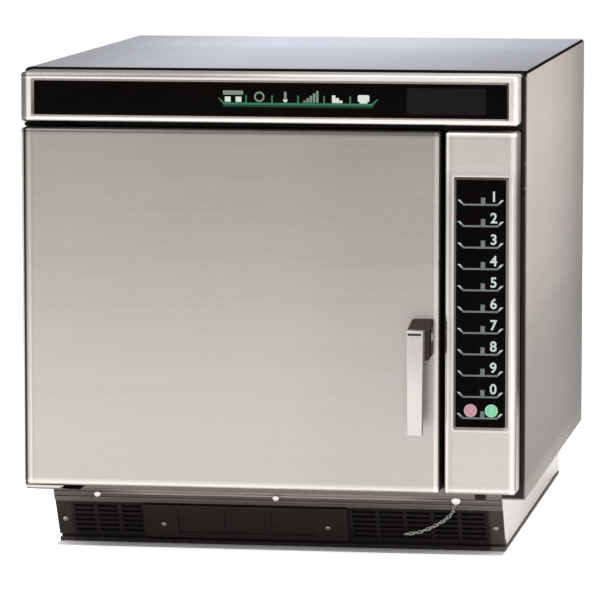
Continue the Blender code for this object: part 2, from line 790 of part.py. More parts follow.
def louvre_boxes(left, width, columns):
    """Straight slots through the raked grille, in columns and rows."""
    pitch = width / columns
    boxes = []
    for column in range(columns):
        x = left + column * pitch + SLOT_BAR / 2
        for row in range(SLOT_ROWS):
            z = SLOT_TOP - row * SLOT_PITCH
            boxes.append(((x, rake(z) - GRILLE_WALL * 2, z - SLOT_HEIGHT),
                          (x + pitch - SLOT_BAR, rake(z - SLOT_HEIGHT) + GRILLE_WALL * 2, z)))
    return boxes


def cover_edges():
    left = COVER_LEFT - PLINTH_HALF
    return left, PLINTH_HALF - COVER_RIGHT


def base_grille():
    lip_y = FRONT_Y + LIP_SETBACK
    points = [(rake(GRILLE_TOP), GRILLE_TOP), (rake(LIP_TOP), LIP_TOP), (lip_y, LIP_TOP),
              (lip_y, FOOT_HEIGHT), (lip_y + GRILLE_WALL, FOOT_HEIGHT),
              (lip_y + GRILLE_WALL, LIP_TOP + GRILLE_WALL),
              (rake(LIP_TOP) + GRILLE_WALL, LIP_TOP + GRILLE_WALL),
              (rake(GRILLE_TOP) + GRILLE_WALL, GRILLE_TOP)]
    grille = side_outline("base_grille", points, -PLINTH_HALF, PLINTH_HALF, "black_steel")
    slots = louvre_boxes(END_PLATE - PLINTH_HALF, LEFT_LOUVRE, LEFT_COLUMNS)
    slots += louvre_boxes(PLINTH_HALF - END_PLATE - RIGHT_LOUVRE, RIGHT_LOUVRE, RIGHT_COLUMNS)
    cut_boxes(grille, "louvre_slots", slots)
    left, right = cover_edges()
    window = ((left + FILTER_MARGIN, rake(COVER_TOP) - GRILLE_WALL, COVER_BOTTOM + COVER_RIM),
              (right - FILTER_MARGIN, rake(COVER_BOTTOM) + GRILLE_WALL * 2, COVER_TOP - COVER_RIM))
    return cut_boxes(grille, "filter_window", [window])


def raked_slab(name, front, back, top, bottom, left, right, finish):
    """A slab that leans with the plinth front; front and back are offsets from its face."""
    points = [(rake(top) + front, top), (rake(bottom) + front, bottom),
              (rake(bottom) + back, bottom), (rake(top) + back, top)]
    return side_outline(name, points, left, right, finish)


def filter_cover():
    left, right = cover_edges()
    cover = raked_slab("filter_cover", -TOUCH * 2 - COVER_THICKNESS, -TOUCH * 2, COVER_TOP,
                       COVER_BOTTOM, left, right, "black_plastic")
    width = (right - left - 2 * COVER_END - (COVER_PANELS - 1) * COVER_RIB) / COVER_PANELS
    for index in range(COVER_PANELS):
        x = left + COVER_END + index * (width + COVER_RIB)
        panel = raked_slab(f"cover_recess_{index}", -TOUCH * 2 - COVER_THICKNESS - OVERRUN,
                           COVER_RECESS - TOUCH * 2 - COVER_THICKNESS, COVER_TOP - COVER_RIM,
                           COVER_BOTTOM + COVER_RIM, x, x + width, None)
        combine(cover, panel, "DIFFERENCE")
    return cover


def filter_mesh():
    """The washable filter: a raked frame with bars, in the window behind its cover."""
    left, right = cover_edges()
    left += FILTER_MARGIN + RUNNING
    right -= FILTER_MARGIN + RUNNING
    top, bottom = COVER_TOP - COVER_RIM - RUNNING, COVER_BOTTOM + COVER_RIM + RUNNING
    mesh = raked_slab("filter_mesh", 0, FILTER_THICKNESS, top, bottom, left, right, "aluminium")
    count = int((right - left - FILTER_BARS) / FILTER_CELL)
    cell = (right - left - FILTER_BARS) / count
    holes = []
    for index in range(count):
        x = left + FILTER_BARS + index * cell
        holes.append(((x, rake(top) - OVERRUN, bottom + FILTER_BARS),
                      (x + cell - FILTER_BARS, rake(bottom) + FILTER_THICKNESS + OVERRUN,
                       top - FILTER_BARS)))
    return cut_boxes(mesh, "filter_cells", holes)


def feet():
    for word, y in (("front", FRONT_Y + LIP_SETBACK + FOOT_FRONT),
                    ("back", BACK_Y - PLINTH_BACK_GAP - FOOT_BACK)):
        for side, sign in (("left", -1), ("right", 1)):
            x = sign * (PLINTH_HALF - PLINTH_FLANGE / 2)
            rods(f"foot_{word}_{side}", [(x, y, 0)], "Z", FOOT_HEIGHT - TOUCH, FOOT_RADIUS, "rubber")


# Fascia
def window_box():
    low = (FASCIA_LEFT + WINDOW_LEFT, FACE_Y, BEZEL_HIGH - WINDOW_DROP - WINDOW_HEIGHT)
    high = (FASCIA_RIGHT - WINDOW_RIGHT, FACE_Y + WINDOW_THICKNESS, BEZEL_HIGH - WINDOW_DROP)
    return low, high


def grown(low, high, margin, front, back):
    """A box widened by a margin in X and Z, between two Y places."""
    return ((low[0] - margin, front, low[2] - margin), (high[0] + margin, back, high[2] + margin))


def cut_through(target, name, low, high, corner):
    box = grown(low, high, TOUCH, FACE_Y - OVERRUN, FACE_Y + FACE_SHEET + OVERRUN)
    return combine(target, block(name, *box, None, "Y", corner), "DIFFERENCE")


def display_bezel():
    bezel = shell("display_bezel", (FASCIA_LEFT, FACE_Y, BEZEL_LOW),
                  (FASCIA_RIGHT, FASCIA_BACK, BEZEL_HIGH), ("back",), FACE_SHEET, FACE_BEND,
                  "brushed_steel")
    return cut_through(bezel, "bezel_window", *window_box(), WINDOW_CORNER)


def display_window():
    return block("display_window", *window_box(), "black_gloss", "Y", WINDOW_CORNER)


def display_board():
    low, high = window_box()
    front = FACE_Y + WINDOW_THICKNESS + TOUCH
    z = (low[2] + high[2]) / 2
    right = high[0] - VFD_INSET
    board_front = front + VFD_DEPTH
    board = block("display_board", (right - DISPLAY_BOARD_WIDTH, board_front, z - DISPLAY_BOARD_HEIGHT / 2),
                  (right, board_front + BOARD_THICKNESS, z + DISPLAY_BOARD_HEIGHT / 2), "board")
    glass = ((right - VFD_WIDTH, front, z - VFD_HEIGHT / 2),
             (right - BOARD_THICKNESS, board_front + BOARD_THICKNESS / 2, z + VFD_HEIGHT / 2))
    return weld_boxes(board, "vacuum_display", [glass])


def keypad_box():
    high_z = DOOR_HIGH - KEYPAD_DROP
    left = PANEL_LEFT + KEYPAD_LEFT
    back = FACE_Y + KEYPAD_THICKNESS
    return (left, FACE_Y, high_z - KEYPAD_HEIGHT), (left + KEYPAD_WIDTH, back, high_z)


def control_panel():
    panel = shell("control_panel", (PANEL_LEFT, FACE_Y, DOOR_LOW),
                  (FASCIA_RIGHT, FASCIA_BACK, DOOR_HIGH), ("back",), FACE_SHEET, FACE_BEND,
                  "brushed_steel")
    return cut_through(panel, "keypad_window", *keypad_box(), KEYPAD_CORNER)


def keypad_overlay():
    return block("keypad_overlay", *keypad_box(), "black_gloss", "Y", KEYPAD_CORNER)


def control_board_edges():
    right = GEAR_RIGHT
    return right - CONTROL_BOARD_WIDTH, right


def control_board():
    left, right = control_board_edges()
    front = LINER_FRONT + BOARD_POST + TOUCH
    top = CONTROL_BOARD_LOW + CONTROL_BOARD_HEIGHT
    board = block("control_board", (left, front, CONTROL_BOARD_LOW), (right, front + BOARD_THICKNESS, top),
                  "board")
    pitch = CONTROL_BOARD_HEIGHT / RELAY_COUNT
    relays = []
    for index in range(RELAY_COUNT):
        z = CONTROL_BOARD_LOW + pitch * (index + 0.5)
        x = (left + right) / 2
        relays.append(((x - RELAY_SIZE / 2, front + BOARD_THICKNESS / 2, z - RELAY_SIZE / 2),
                       (x + RELAY_SIZE / 2, front + BOARD_THICKNESS + RELAY_SIZE, z + RELAY_SIZE / 2)))
    weld_boxes(board, "relays", relays)
    posts = [(x, LINER_FRONT, z) for x in (left + POST_RADIUS * 2, right - POST_RADIUS * 2)
             for z in (CONTROL_BOARD_LOW + POST_RADIUS * 2, top - POST_RADIUS * 2)]
    return weld_rods(board, "board_posts", posts, "Y", BOARD_POST + TOUCH + BOARD_THICKNESS / 2,
                     POST_RADIUS, SMALL)


# Cavity
def liner_corners():
    return ((LINER_LEFT, LINER_FRONT, LINER_LOW), (LINER_RIGHT, LINER_BACK, LINER_HIGH))


def probe_start():
    return (CAVITY_RIGHT - PROBE_IN, LINER_BACK - PROBE_FROM_BACK, CAVITY_HIGH - PROBE_DROP)


def duct_hole_starts(z):
    pitch = (DUCT_WIDTH - DUCT_HOLE * 2) / DUCT_HOLES
    y = LINER_BACK - DUCT_IN / 2
    return [(CAVITY_X + (i - (DUCT_HOLES - 1) / 2) * pitch, y, z) for i in range(DUCT_HOLES)]


def feed_window(low, high):
    half = FEED_WINDOW / 2
    return ((CAVITY_X - half, CAVITY_Y - half, low), (CAVITY_X + half, CAVITY_Y + half, high))


def cavity_liner():
    liner = shell("cavity_liner", *liner_corners(), ("front", "back"), CAVITY_SHEET,
                  CAVITY_CORNER, "bright_steel")
    cut_rods(liner, "liner_feed_hole", [(CAVITY_X, CAVITY_Y, LINER_LOW - OVERRUN)], "Z",
             CAVITY_SHEET + 2 * OVERRUN, FEED_HOLE)
    cut_boxes(liner, "liner_feed_window", [feed_window(CAVITY_HIGH - OVERRUN, LINER_HIGH + OVERRUN)])
    cut_rods(liner, "liner_exhaust_holes", duct_hole_starts(CAVITY_HIGH - OVERRUN), "Z",
             CAVITY_SHEET + 2 * OVERRUN, DUCT_HOLE)
    cut_rods(liner, "liner_probe_hole", [probe_start()], "X", PROBE_IN + PROBE_OUT,
             PROBE_RADIUS + TOUCH, SMALL)
    return liner


def insulation():
    """Mineral wool wrapped round the left side, the top and the bottom of the liner."""
    low, high = liner_corners()
    thick = INSULATION + TOUCH
    wool = block("insulation", (low[0] - thick, low[1], low[2] - thick),
                 (high[0], high[1], high[2] + thick), "wool", "Y", CAVITY_CORNER)
    guide_front = CAVITY_Y - GUIDE_WIDTH / 2 - TOUCH
    guide_back = CAVITY_Y + GUIDE_WIDTH / 2 + TOUCH
    guide_left = CAVITY_X - GUIDE_END - TOUCH
    duct_half = DUCT_WIDTH / 2 + TOUCH
    beyond = high[0] + OVERRUN
    cuts = [
        ((low[0] - TOUCH, low[1] - OVERRUN, low[2] - TOUCH),
         (beyond, high[1] + OVERRUN, high[2] + TOUCH)),
        ((guide_left, guide_front, high[2]), (beyond, guide_back, high[2] + thick + OVERRUN)),
        ((guide_left, guide_front, low[2] - thick - OVERRUN), (beyond, guide_back, low[2])),
        ((CAVITY_X - duct_half, high[1] - DUCT_IN - TOUCH, high[2]),
         (CAVITY_X + duct_half, high[1] + OVERRUN, high[2] + thick + OVERRUN)),
    ]
    for index, cut in enumerate(cuts):
        cut_boxes(wool, f"wool_cut_{index}", [cut])
    return wool


def ceramic_shelf():
    gap = SHELF_GAP
    low = (CAVITY_LEFT + gap, LINER_FRONT + gap, LINER_FLOOR + TOUCH)
    high = (CAVITY_RIGHT - gap, LINER_BACK - gap, CAVITY_LOW)
    return shell("ceramic_shelf", low, high, ("bottom",), SHELF_THICKNESS, SHELF_CORNER, "ceramic")


def ladder_x(side, step=0):
    """Centre of a rack ladder's posts, or of its rails one step further in."""
    edge = CAVITY_LEFT if side < 0 else CAVITY_RIGHT
    return edge - side * (WIRE + TOUCH + step)


def ladder_heights():
    return [CAVITY_LOW + LADDER_FIRST + level * LADDER_PITCH for level in range(LADDER_LEVELS)]


def rack_support(name, side):
    """A ladder of three rails on two posts, against one wall of the cavity."""
    foot = CAVITY_LOW + TOUCH
    top = ladder_heights()[-1] + LADDER_FIRST / 2
    posts = [(ladder_x(side), CAVITY_Y + place * LADDER_POST_SPACING / 2, foot) for place in (-1, 1)]
    support = rods(name, posts, "Z", top - foot, WIRE, "bright_steel", SMALL)
    rails = [(ladder_x(side, RAIL_STEP), CAVITY_Y - LADDER_RAIL / 2, z) for z in ladder_heights()]
    return weld_rods(support, name + "_rails", rails, "Y", LADDER_RAIL, WIRE, SMALL)


def rack_height():
    return ladder_heights()[1] + 2 * WIRE + TOUCH


def oven_rack():
    """A wire frame with cross wires, on the middle pair of rails."""
    half = CAVITY_WIDTH / 2 - RACK_SIDE_GAP
    front = LINER_FRONT + RACK_SETBACK
    back = front + RACK_DEPTH
    z = rack_height()
    corners = [(CAVITY_X - half, front, z), (CAVITY_X + half, front, z),
               (CAVITY_X + half, back, z), (CAVITY_X - half, back, z)]
    rack = wire("oven_rack", corners, WIRE, "bright_steel", closed=True, resolution=2)
    pitch = 2 * half / (RACK_WIRES + 1)
    starts = [(CAVITY_X - half + pitch * (i + 1), front, z) for i in range(RACK_WIRES)]
    return weld_rods(rack, "rack_wires", starts, "Y", RACK_DEPTH, RACK_WIRE, FEW)


def temperature_probe():
    return rods("temperature_probe", [probe_start()], "X", PROBE_IN + PROBE_OUT, PROBE_RADIUS,
                "bright_steel", SMALL)


# Microwave feed
def wave_guide(name, low_z, mouth):
    """A flat duct from the magnetron to the cavity; mouth cuts the side that faces the cavity."""
    left, right = CAVITY_X - GUIDE_END, GEAR_RIGHT
    front, back = CAVITY_Y - GUIDE_WIDTH / 2, CAVITY_Y + GUIDE_WIDTH / 2
    high_z = low_z + GUIDE_HEIGHT
    guide = block(name, (left, front, low_z), (right, back, high_z), "aluminium")
    inside = ((left + GUIDE_SHEET, front + GUIDE_SHEET, low_z + GUIDE_SHEET),
              (right - GUIDE_SHEET, back - GUIDE_SHEET, high_z - GUIDE_SHEET))
    cut_boxes(guide, name + "_inside", [inside])
    return combine(guide, mouth, "DIFFERENCE")


def lower_waveguide():
    low_z = LOWER_GUIDE_TOP - GUIDE_HEIGHT
    mouth = rods("lower_mouth", [(CAVITY_X, CAVITY_Y, LOWER_GUIDE_TOP - GUIDE_SHEET - OVERRUN)], "Z",
                 GUIDE_SHEET + 2 * OVERRUN, FEED_HOLE, None)
    guide = wave_guide("lower_waveguide", low_z, mouth)
    cut_rods(guide, "lower_shaft_hole", [(CAVITY_X, CAVITY_Y, low_z - OVERRUN)], "Z",
             GUIDE_SHEET + 2 * OVERRUN, STIRRER_SHAFT + RUNNING * 2)
    return cut_rods(guide, "lower_antenna_hole",
                    [(MAGNETRON_X, CAVITY_Y, LOWER_GUIDE_TOP - GUIDE_SHEET - OVERRUN)], "Z",
                    GUIDE_SHEET + 2 * OVERRUN, ANTENNA_RADIUS + RUNNING)


def upper_waveguide():
    box = feed_window(UPPER_GUIDE_LOW - OVERRUN, UPPER_GUIDE_LOW + GUIDE_SHEET + OVERRUN)
    mouth = blocks("upper_mouth", [box], None)
    guide = wave_guide("upper_waveguide", UPPER_GUIDE_LOW, mouth)
    return cut_rods(guide, "upper_antenna_hole", [(MAGNETRON_X, CAVITY_Y, UPPER_GUIDE_LOW - OVERRUN)],
                    "Z", GUIDE_SHEET + 2 * OVERRUN, ANTENNA_RADIUS + RUNNING)


def magnetron(name, seat, sign):
    """Yoke, cooling fins round the tube, and an antenna that reaches into the waveguide."""
    half_x, half_y = MAGNETRON_WIDTH / 2, MAGNETRON_DEPTH / 2
    far = seat + sign * MAGNETRON_HEIGHT
    low_z, high_z = min(seat, far), max(seat, far)
    yoke = block(name, (MAGNETRON_X - half_x, CAVITY_Y - half_y, low_z),
                 (MAGNETRON_X + half_x, CAVITY_Y + half_y, high_z), "galvanised")
    inside = ((MAGNETRON_X - half_x + MAGNETRON_YOKE, CAVITY_Y - half_y - OVERRUN, low_z + MAGNETRON_YOKE),
              (MAGNETRON_X + half_x - MAGNETRON_YOKE, CAVITY_Y + half_y + OVERRUN, high_z - MAGNETRON_YOKE))
    cut_boxes(yoke, name + "_inside", [inside])
    weld_rods(yoke, name + "_tube", [(MAGNETRON_X, CAVITY_Y, low_z + MAGNETRON_YOKE / 2)], "Z",
              MAGNETRON_HEIGHT - MAGNETRON_YOKE, MAGNETRON_CORE)
    pitch = (MAGNETRON_HEIGHT - 2 * MAGNETRON_YOKE) / (MAGNETRON_FINS + 1)
    fins = []
    for index in range(MAGNETRON_FINS):
        z = low_z + MAGNETRON_YOKE + pitch * (index + 1)
        fins.append(((MAGNETRON_X - half_x + MAGNETRON_YOKE / 2, CAVITY_Y - half_y + MAGNETRON_YOKE, z),
                     (MAGNETRON_X + half_x - MAGNETRON_YOKE / 2, CAVITY_Y + half_y - MAGNETRON_YOKE,
                      z + MAGNETRON_FIN)))
    weld_boxes(yoke, name + "_fins", fins)
    start = seat - ANTENNA_LENGTH if sign > 0 else seat - MAGNETRON_YOKE / 2
    return weld_rods(yoke, name + "_antenna", [(MAGNETRON_X, CAVITY_Y, start)], "Z",
                     ANTENNA_LENGTH + MAGNETRON_YOKE / 2, ANTENNA_RADIUS)


def feed_cover():
    half = FEED_COVER / 2
    top = CAVITY_HIGH - TOUCH
    return block("feed_cover", (CAVITY_X - half, CAVITY_Y - half, top - FEED_COVER_THICKNESS),
                 (CAVITY_X + half, CAVITY_Y + half, top), "mica", "Z", CAVITY_CORNER)


def stirrer():
    """Rotating antenna: a hub plate with arms on a shaft that comes up through the waveguide."""
    plate = LINER_FLOOR + STIRRER_RISE
    rotor = rods("stirrer", [(CAVITY_X, CAVITY_Y, plate)], "Z", STIRRER_PLATE, STIRRER_HUB,
                 "aluminium")
    arms = bmesh.new()
    for index in range(STIRRER_ARMS):
        verts = add_box(arms, (STIRRER_HUB / 2, -STIRRER_ARM / 2, 0),
                        (STIRRER_RADIUS, STIRRER_ARM / 2, STIRRER_PLATE * STIRRER_ARM_SHARE))
        turn = Matrix.Rotation(2 * math.pi * index / STIRRER_ARMS, 4, "Z")
        bmesh.ops.transform(arms, verts=verts, matrix=turn)
    rise = plate + STIRRER_PLATE * (1 - STIRRER_ARM_SHARE) / 2
    bmesh.ops.translate(arms, verts=arms.verts, vec=(CAVITY_X, CAVITY_Y, rise))
    combine(rotor, add_object("stirrer_arms", arms, (CAVITY_X, CAVITY_Y, plate)), "UNION")
    low = CASE_BOTTOM - TOUCH - STIRRER_MOTOR_HEIGHT / 2
    return weld_rods(rotor, "stirrer_shaft", [(CAVITY_X, CAVITY_Y, low)], "Z",
                     plate + STIRRER_PLATE / 2 - low, STIRRER_SHAFT, SMALL)


def stirrer_motor():
    top = CASE_BOTTOM - TOUCH
    motor = rods("stirrer_motor", [(CAVITY_X, CAVITY_Y, top - STIRRER_MOTOR_HEIGHT)], "Z",
                 STIRRER_MOTOR_HEIGHT, STIRRER_MOTOR_RADIUS, "galvanised", FINE)
    bore = top - STIRRER_MOTOR_HEIGHT / 2 - TOUCH
    return cut_rods(motor, "stirrer_bore", [(CAVITY_X, CAVITY_Y, bore)], "Z",
                    STIRRER_MOTOR_HEIGHT, STIRRER_SHAFT + RUNNING, SMALL)


# Convection gear
def fan_baffle():
    low, high = liner_corners()
    baffle = block("fan_baffle", (low[0] - BAFFLE_LIP, BAFFLE_FRONT, low[2]),
                   (high[0] + BAFFLE_LIP, BAFFLE_BACK, high[2]), "bright_steel")
    front = BAFFLE_FRONT - OVERRUN
    depth = CAVITY_SHEET + 2 * OVERRUN
    holes = [(CAVITY_X, front, CAVITY_Z)]
    for ring in range(1, BAFFLE_RINGS + 1):
        holes += [(CAVITY_X + x, front, CAVITY_Z + z) for x, z in around(HEX * ring, ring * BAFFLE_RING_STEP)]
    cut_rods(baffle, "baffle_holes", holes, "Y", depth, BAFFLE_HOLE, HEX)
    outlets = []
    for side in (-1, 1):
        x = CAVITY_X + side * (PLENUM_WIDTH / 2 - OUTLET_INSET)
        for z in (CAVITY_Z - OUTLET_LENGTH, CAVITY_Z + OUTLET_LENGTH / 2):
            outlets.append(((x - OUTLET_WIDTH / 2, front, z), (x + OUTLET_WIDTH / 2, front + depth,
                                                               z + OUTLET_LENGTH / 2)))
    return cut_boxes(baffle, "baffle_outlets", outlets)


def element_legs():
    """Places where the heating element's two ends leave the plenum."""
    drop = math.sqrt(ELEMENT_RING ** 2 - (ELEMENT_LEG_SPACING / 2) ** 2)
    return [(CAVITY_X + side * ELEMENT_LEG_SPACING / 2, CAVITY_Z - drop) for side in (1, -1)]


def fan_plenum():
    half_x, half_z = PLENUM_WIDTH / 2, PLENUM_HEIGHT / 2
    plenum = shell("fan_plenum", (CAVITY_X - half_x, PLENUM_FRONT, CAVITY_Z - half_z),
                   (CAVITY_X + half_x, PLENUM_BACK, CAVITY_Z + half_z), ("front",),
                   CAVITY_SHEET, PLENUM_BEND, "galvanised")
    front = PLENUM_BACK - CAVITY_SHEET - OVERRUN
    depth = CAVITY_SHEET + 2 * OVERRUN
    cut_rods(plenum, "plenum_shaft_hole", [(CAVITY_X, front, CAVITY_Z)], "Y", depth,
             FAN_SHAFT + OVERRUN)
    legs = [(x, front, z) for x, z in element_legs()]
    return cut_rods(plenum, "plenum_element_holes", legs, "Y", depth, ELEMENT_TUBE + RUNNING, SMALL)


def fan_y():
    """Front and back of the fan, centred in the plenum."""
    centre = (PLENUM_FRONT + PLENUM_BACK) / 2
    return centre - FAN_WIDTH / 2, centre + FAN_WIDTH / 2


def convection_fan():
    front, back = fan_y()
    fan = rods("convection_fan", [(CAVITY_X, back - FAN_DISC, CAVITY_Z)], "Y", FAN_DISC,
               FAN_RADIUS, "aluminium", FINE)
    blades = bmesh.new()
    for index in range(FAN_BLADES):
        verts = add_box(blades, (FAN_BLADE_INNER, front, -FAN_BLADE_THICKNESS / 2),
                        (FAN_RADIUS - FAN_BLADE_THICKNESS, back - FAN_DISC / 2, FAN_BLADE_THICKNESS / 2))
        turn = Matrix.Rotation(2 * math.pi * index / FAN_BLADES, 4, "Y")
        bmesh.ops.transform(blades, verts=verts, matrix=turn)
    bmesh.ops.translate(blades, verts=blades.verts, vec=(CAVITY_X, 0, CAVITY_Z))
    combine(fan, add_object("fan_blades", blades, (CAVITY_X, front, CAVITY_Z)), "UNION")
    weld_rods(fan, "fan_hub", [(CAVITY_X, front + FAN_HUB, CAVITY_Z)], "Y",
              FAN_WIDTH - FAN_HUB - FAN_DISC / 2, FAN_HUB)
    start = back - FAN_HUB
    end = MOTOR_FRONT + TOUCH + MOTOR_BORE_DEPTH - RUNNING
    return weld_rods(fan, "fan_shaft", [(CAVITY_X, start, CAVITY_Z)], "Y", end - start, FAN_SHAFT, SMALL)


def heating_element():
    """One ring round the fan, with both ends led back out of the plenum."""
    front, back = fan_y()
    y = (front + back) / 2
    tail = SLAB_BACK + ELEMENT_TAIL
    half = math.asin(ELEMENT_LEG_SPACING / 2 / ELEMENT_RING)
    start = -math.pi / 2 + half
    end = start + 2 * (math.pi - half)
    points = []
    for step in range(FINE + 1):
        turn = start + (end - start) * step / FINE
        points.append((CAVITY_X + ELEMENT_RING * math.cos(turn), y,
                       CAVITY_Z + ELEMENT_RING * math.sin(turn)))
    legs = element_legs()
    bend = ELEMENT_TUBE * 2
    first = [(legs[0][0], tail, legs[0][1]), (legs[0][0], y + bend, legs[0][1])]
    last = [(legs[1][0], y + bend, legs[1][1]), (legs[1][0], tail, legs[1][1])]
    return wire("heating_element", first + points[1:-1] + last, ELEMENT_TUBE, "black_steel", resolution=1)


def convection_motor():
    front = MOTOR_FRONT + TOUCH
    motor = rods("convection_motor", [(CAVITY_X, front, CAVITY_Z)], "Y", MOTOR_LENGTH, MOTOR_RADIUS,
                 "galvanised", FINE)
    weld_rods(motor, "motor_flange", [(CAVITY_X, front, CAVITY_Z)], "Y", MOTOR_FLANGE_THICKNESS,
              MOTOR_FLANGE, FINE)
    feet_places = [(CAVITY_X + x, PLENUM_BACK + TOUCH, CAVITY_Z + z)
                   for x, z in around(MOTOR_POSTS, MOTOR_BOLT_CIRCLE, math.pi / MOTOR_POSTS)]
    weld_rods(motor, "motor_posts", feet_places, "Y", MOTOR_STANDOFF + MOTOR_FLANGE_THICKNESS / 2,
              POST_RADIUS, SMALL)
    return cut_rods(motor, "motor_bore", [(CAVITY_X, front - OVERRUN, CAVITY_Z)], "Y",
                    MOTOR_BORE_DEPTH + OVERRUN, FAN_SHAFT + RUNNING, SMALL)


def exhaust_duct():
    half = DUCT_WIDTH / 2
    low = (CAVITY_X - half, LINER_BACK - DUCT_IN, UPPER_GUIDE_LOW)
    high = (CAVITY_X + half, REAR_INNER - TOUCH, UPPER_GUIDE_LOW + DUCT_HEIGHT)
    duct = block("exhaust_duct", low, high, "galvanised")
    inside = (tuple(v + DUCT_SHEET for v in low),
              (high[0] - DUCT_SHEET, high[1] + OVERRUN, high[2] - DUCT_SHEET))
    cut_boxes(duct, "duct_inside", [inside])
    return cut_rods(duct, "duct_holes", duct_hole_starts(UPPER_GUIDE_LOW - OVERRUN), "Z",
                    DUCT_SHEET + 2 * OVERRUN, DUCT_HOLE)


# Cooling and power gear
def blower_y():
    front = CAVITY_Y + MAGNETRON_DEPTH / 2 + BLOWER_SETBACK
    return front, front + BLOWER_DEPTH


def wheel_place():
    """Left end of the blower wheel's axis."""
    front, back = blower_y()
    return GEAR_LEFT + WHEEL_GAP, (front + back) / 2, PLATE_LOW + BLOWER_HEIGHT / 2


def blower_housing():
    front, back = blower_y()
    low = (GEAR_LEFT, front, PLATE_LOW)
    high = (GEAR_RIGHT, back, PLATE_LOW + BLOWER_HEIGHT)
    housing = block("blower_housing", low, high, "black_plastic", "X", BLOWER_ROUND, CORNER_STEPS)
    inside_low = tuple(v + BLOWER_SHEET for v in low)
    inside_high = tuple(v - BLOWER_SHEET for v in high)
    inside = block("blower_inside", inside_low, inside_high, None, "X", BLOWER_ROUND - BLOWER_SHEET,
                   CORNER_STEPS)
    combine(housing, inside, "DIFFERENCE")
    _, y, z = wheel_place()
    cut_rods(housing, "blower_inlet", [(GEAR_LEFT - OVERRUN, y, z)], "X", BLOWER_SHEET + 2 * OVERRUN,
             BLOWER_INLET, FINE)
    outlet = ((GEAR_LEFT + BLOWER_ROUND / 2, front - OVERRUN, z),
              (GEAR_RIGHT - BLOWER_ROUND / 2, front + BLOWER_SHEET + OVERRUN, high[2] - BLOWER_ROUND))
    intake = ((GEAR_LEFT + BLOWER_ROUND, front + BLOWER_ROUND, PLATE_LOW - OVERRUN),
              (GEAR_RIGHT - BLOWER_ROUND, back - BLOWER_ROUND, PLATE_LOW + BLOWER_SHEET + OVERRUN))
    return cut_boxes(housing, "blower_openings", [outlet, intake])


def blower_wheel():
    """Squirrel cage: blades between a front ring and a back disc with a shaft stub."""
    x, y, z = wheel_place()
    disc_x = x + WHEEL_WIDTH - WHEEL_RING
    wheel = rods("blower_wheel", [(disc_x, y, z)], "X", WHEEL_RING, WHEEL_RADIUS, "black_plastic", FINE)
    ring = rods("wheel_ring", [(x, y, z)], "X", WHEEL_RING, WHEEL_RADIUS, None, FINE)
    cut_rods(ring, "wheel_ring_bore", [(x - OVERRUN, y, z)], "X", WHEEL_RING + 2 * OVERRUN,
             WHEEL_RADIUS - WHEEL_BLADE_DEPTH, FINE)
    blades = bmesh.new()
    for index in range(WHEEL_BLADES):
        verts = add_box(blades, (x + WHEEL_RING / 2, WHEEL_RADIUS - WHEEL_BLADE_DEPTH + WHEEL_BLADE, 0),
                        (disc_x + WHEEL_RING / 2, WHEEL_RADIUS - WHEEL_BLADE, WHEEL_BLADE))
        turn = Matrix.Rotation(2 * math.pi * index / WHEEL_BLADES, 4, "X")
        bmesh.ops.transform(blades, verts=verts, matrix=turn)
    bmesh.ops.translate(blades, verts=blades.verts, vec=(0, y, z))
    combine(wheel, add_object("wheel_blades", blades, (x, y, z)), "UNION")
    combine(wheel, ring, "UNION")
    stub = disc_x + WHEEL_RING / 2
    return weld_rods(wheel, "wheel_stub", [(stub, y, z)], "X", WHEEL_RING / 2 + BLOWER_SHAFT_LENGTH,
                     BLOWER_SHAFT, SMALL)


def blower_motor():
    x, y, z = wheel_place()
    start = x + WHEEL_WIDTH + BLOWER_MOTOR_GAP
    end = GEAR_RIGHT - BLOWER_SHEET - TOUCH
    motor = rods("blower_motor", [(start, y, z)], "X", end - start, BLOWER_MOTOR_RADIUS, "galvanised", FINE)
    return cut_rods(motor, "blower_bore", [(start - OVERRUN, y, z)], "X",
                    BLOWER_SHAFT_LENGTH + OVERRUN, BLOWER_SHAFT + RUNNING, SMALL)


def transformer_y():
    back = REAR_INNER - REAR_GEAR_GAP
    return back - TRANSFORMER_COIL_DEPTH, back


def transformer(name, left):
    """Laminated core with its windings standing out front and back."""
    front, back = transformer_y()
    y = (front + back) / 2
    core = block(name, (left, y - TRANSFORMER_CORE / 2, PLATE_LOW),
                 (left + TRANSFORMER_WIDTH, y + TRANSFORMER_CORE / 2, PLATE_LOW + TRANSFORMER_HEIGHT),
                 "black_steel")
    x = left + TRANSFORMER_WIDTH / 2
    z = PLATE_LOW + TRANSFORMER_HEIGHT / 2
    coil = block(name + "_coil",
                 (x - TRANSFORMER_COIL_WIDTH / 2, front, z - TRANSFORMER_COIL_HEIGHT / 2),
                 (x + TRANSFORMER_COIL_WIDTH / 2, back, z + TRANSFORMER_COIL_HEIGHT / 2), None,
                 "Z", TRANSFORMER_COIL_CORNER)
    return combine(core, coil, "UNION")


def transformers():
    left = TRANSFORMER_FIRST - INNER
    return (transformer("left_transformer", left),
            transformer("right_transformer", left + TRANSFORMER_PITCH))


def capacitor():
    """An oval can beside the transformers."""
    left = TRANSFORMER_FIRST - INNER + TRANSFORMER_PITCH + TRANSFORMER_WIDTH + CAPACITOR_GAP
    back = REAR_INNER - REAR_GEAR_GAP
    return block("capacitor", (left, back - CAPACITOR_DEPTH, PLATE_LOW),
                 (left + CAPACITOR_WIDTH, back, PLATE_LOW + CAPACITOR_HEIGHT), "aluminium",
                 "Z", CAPACITOR_CORNER, CORNER_STEPS)


# Door
def door_frame_half():
    return (CAVITY_WIDTH / 2 + DOOR_FRAME_MARGIN, CAVITY_HEIGHT / 2 + DOOR_FRAME_MARGIN)


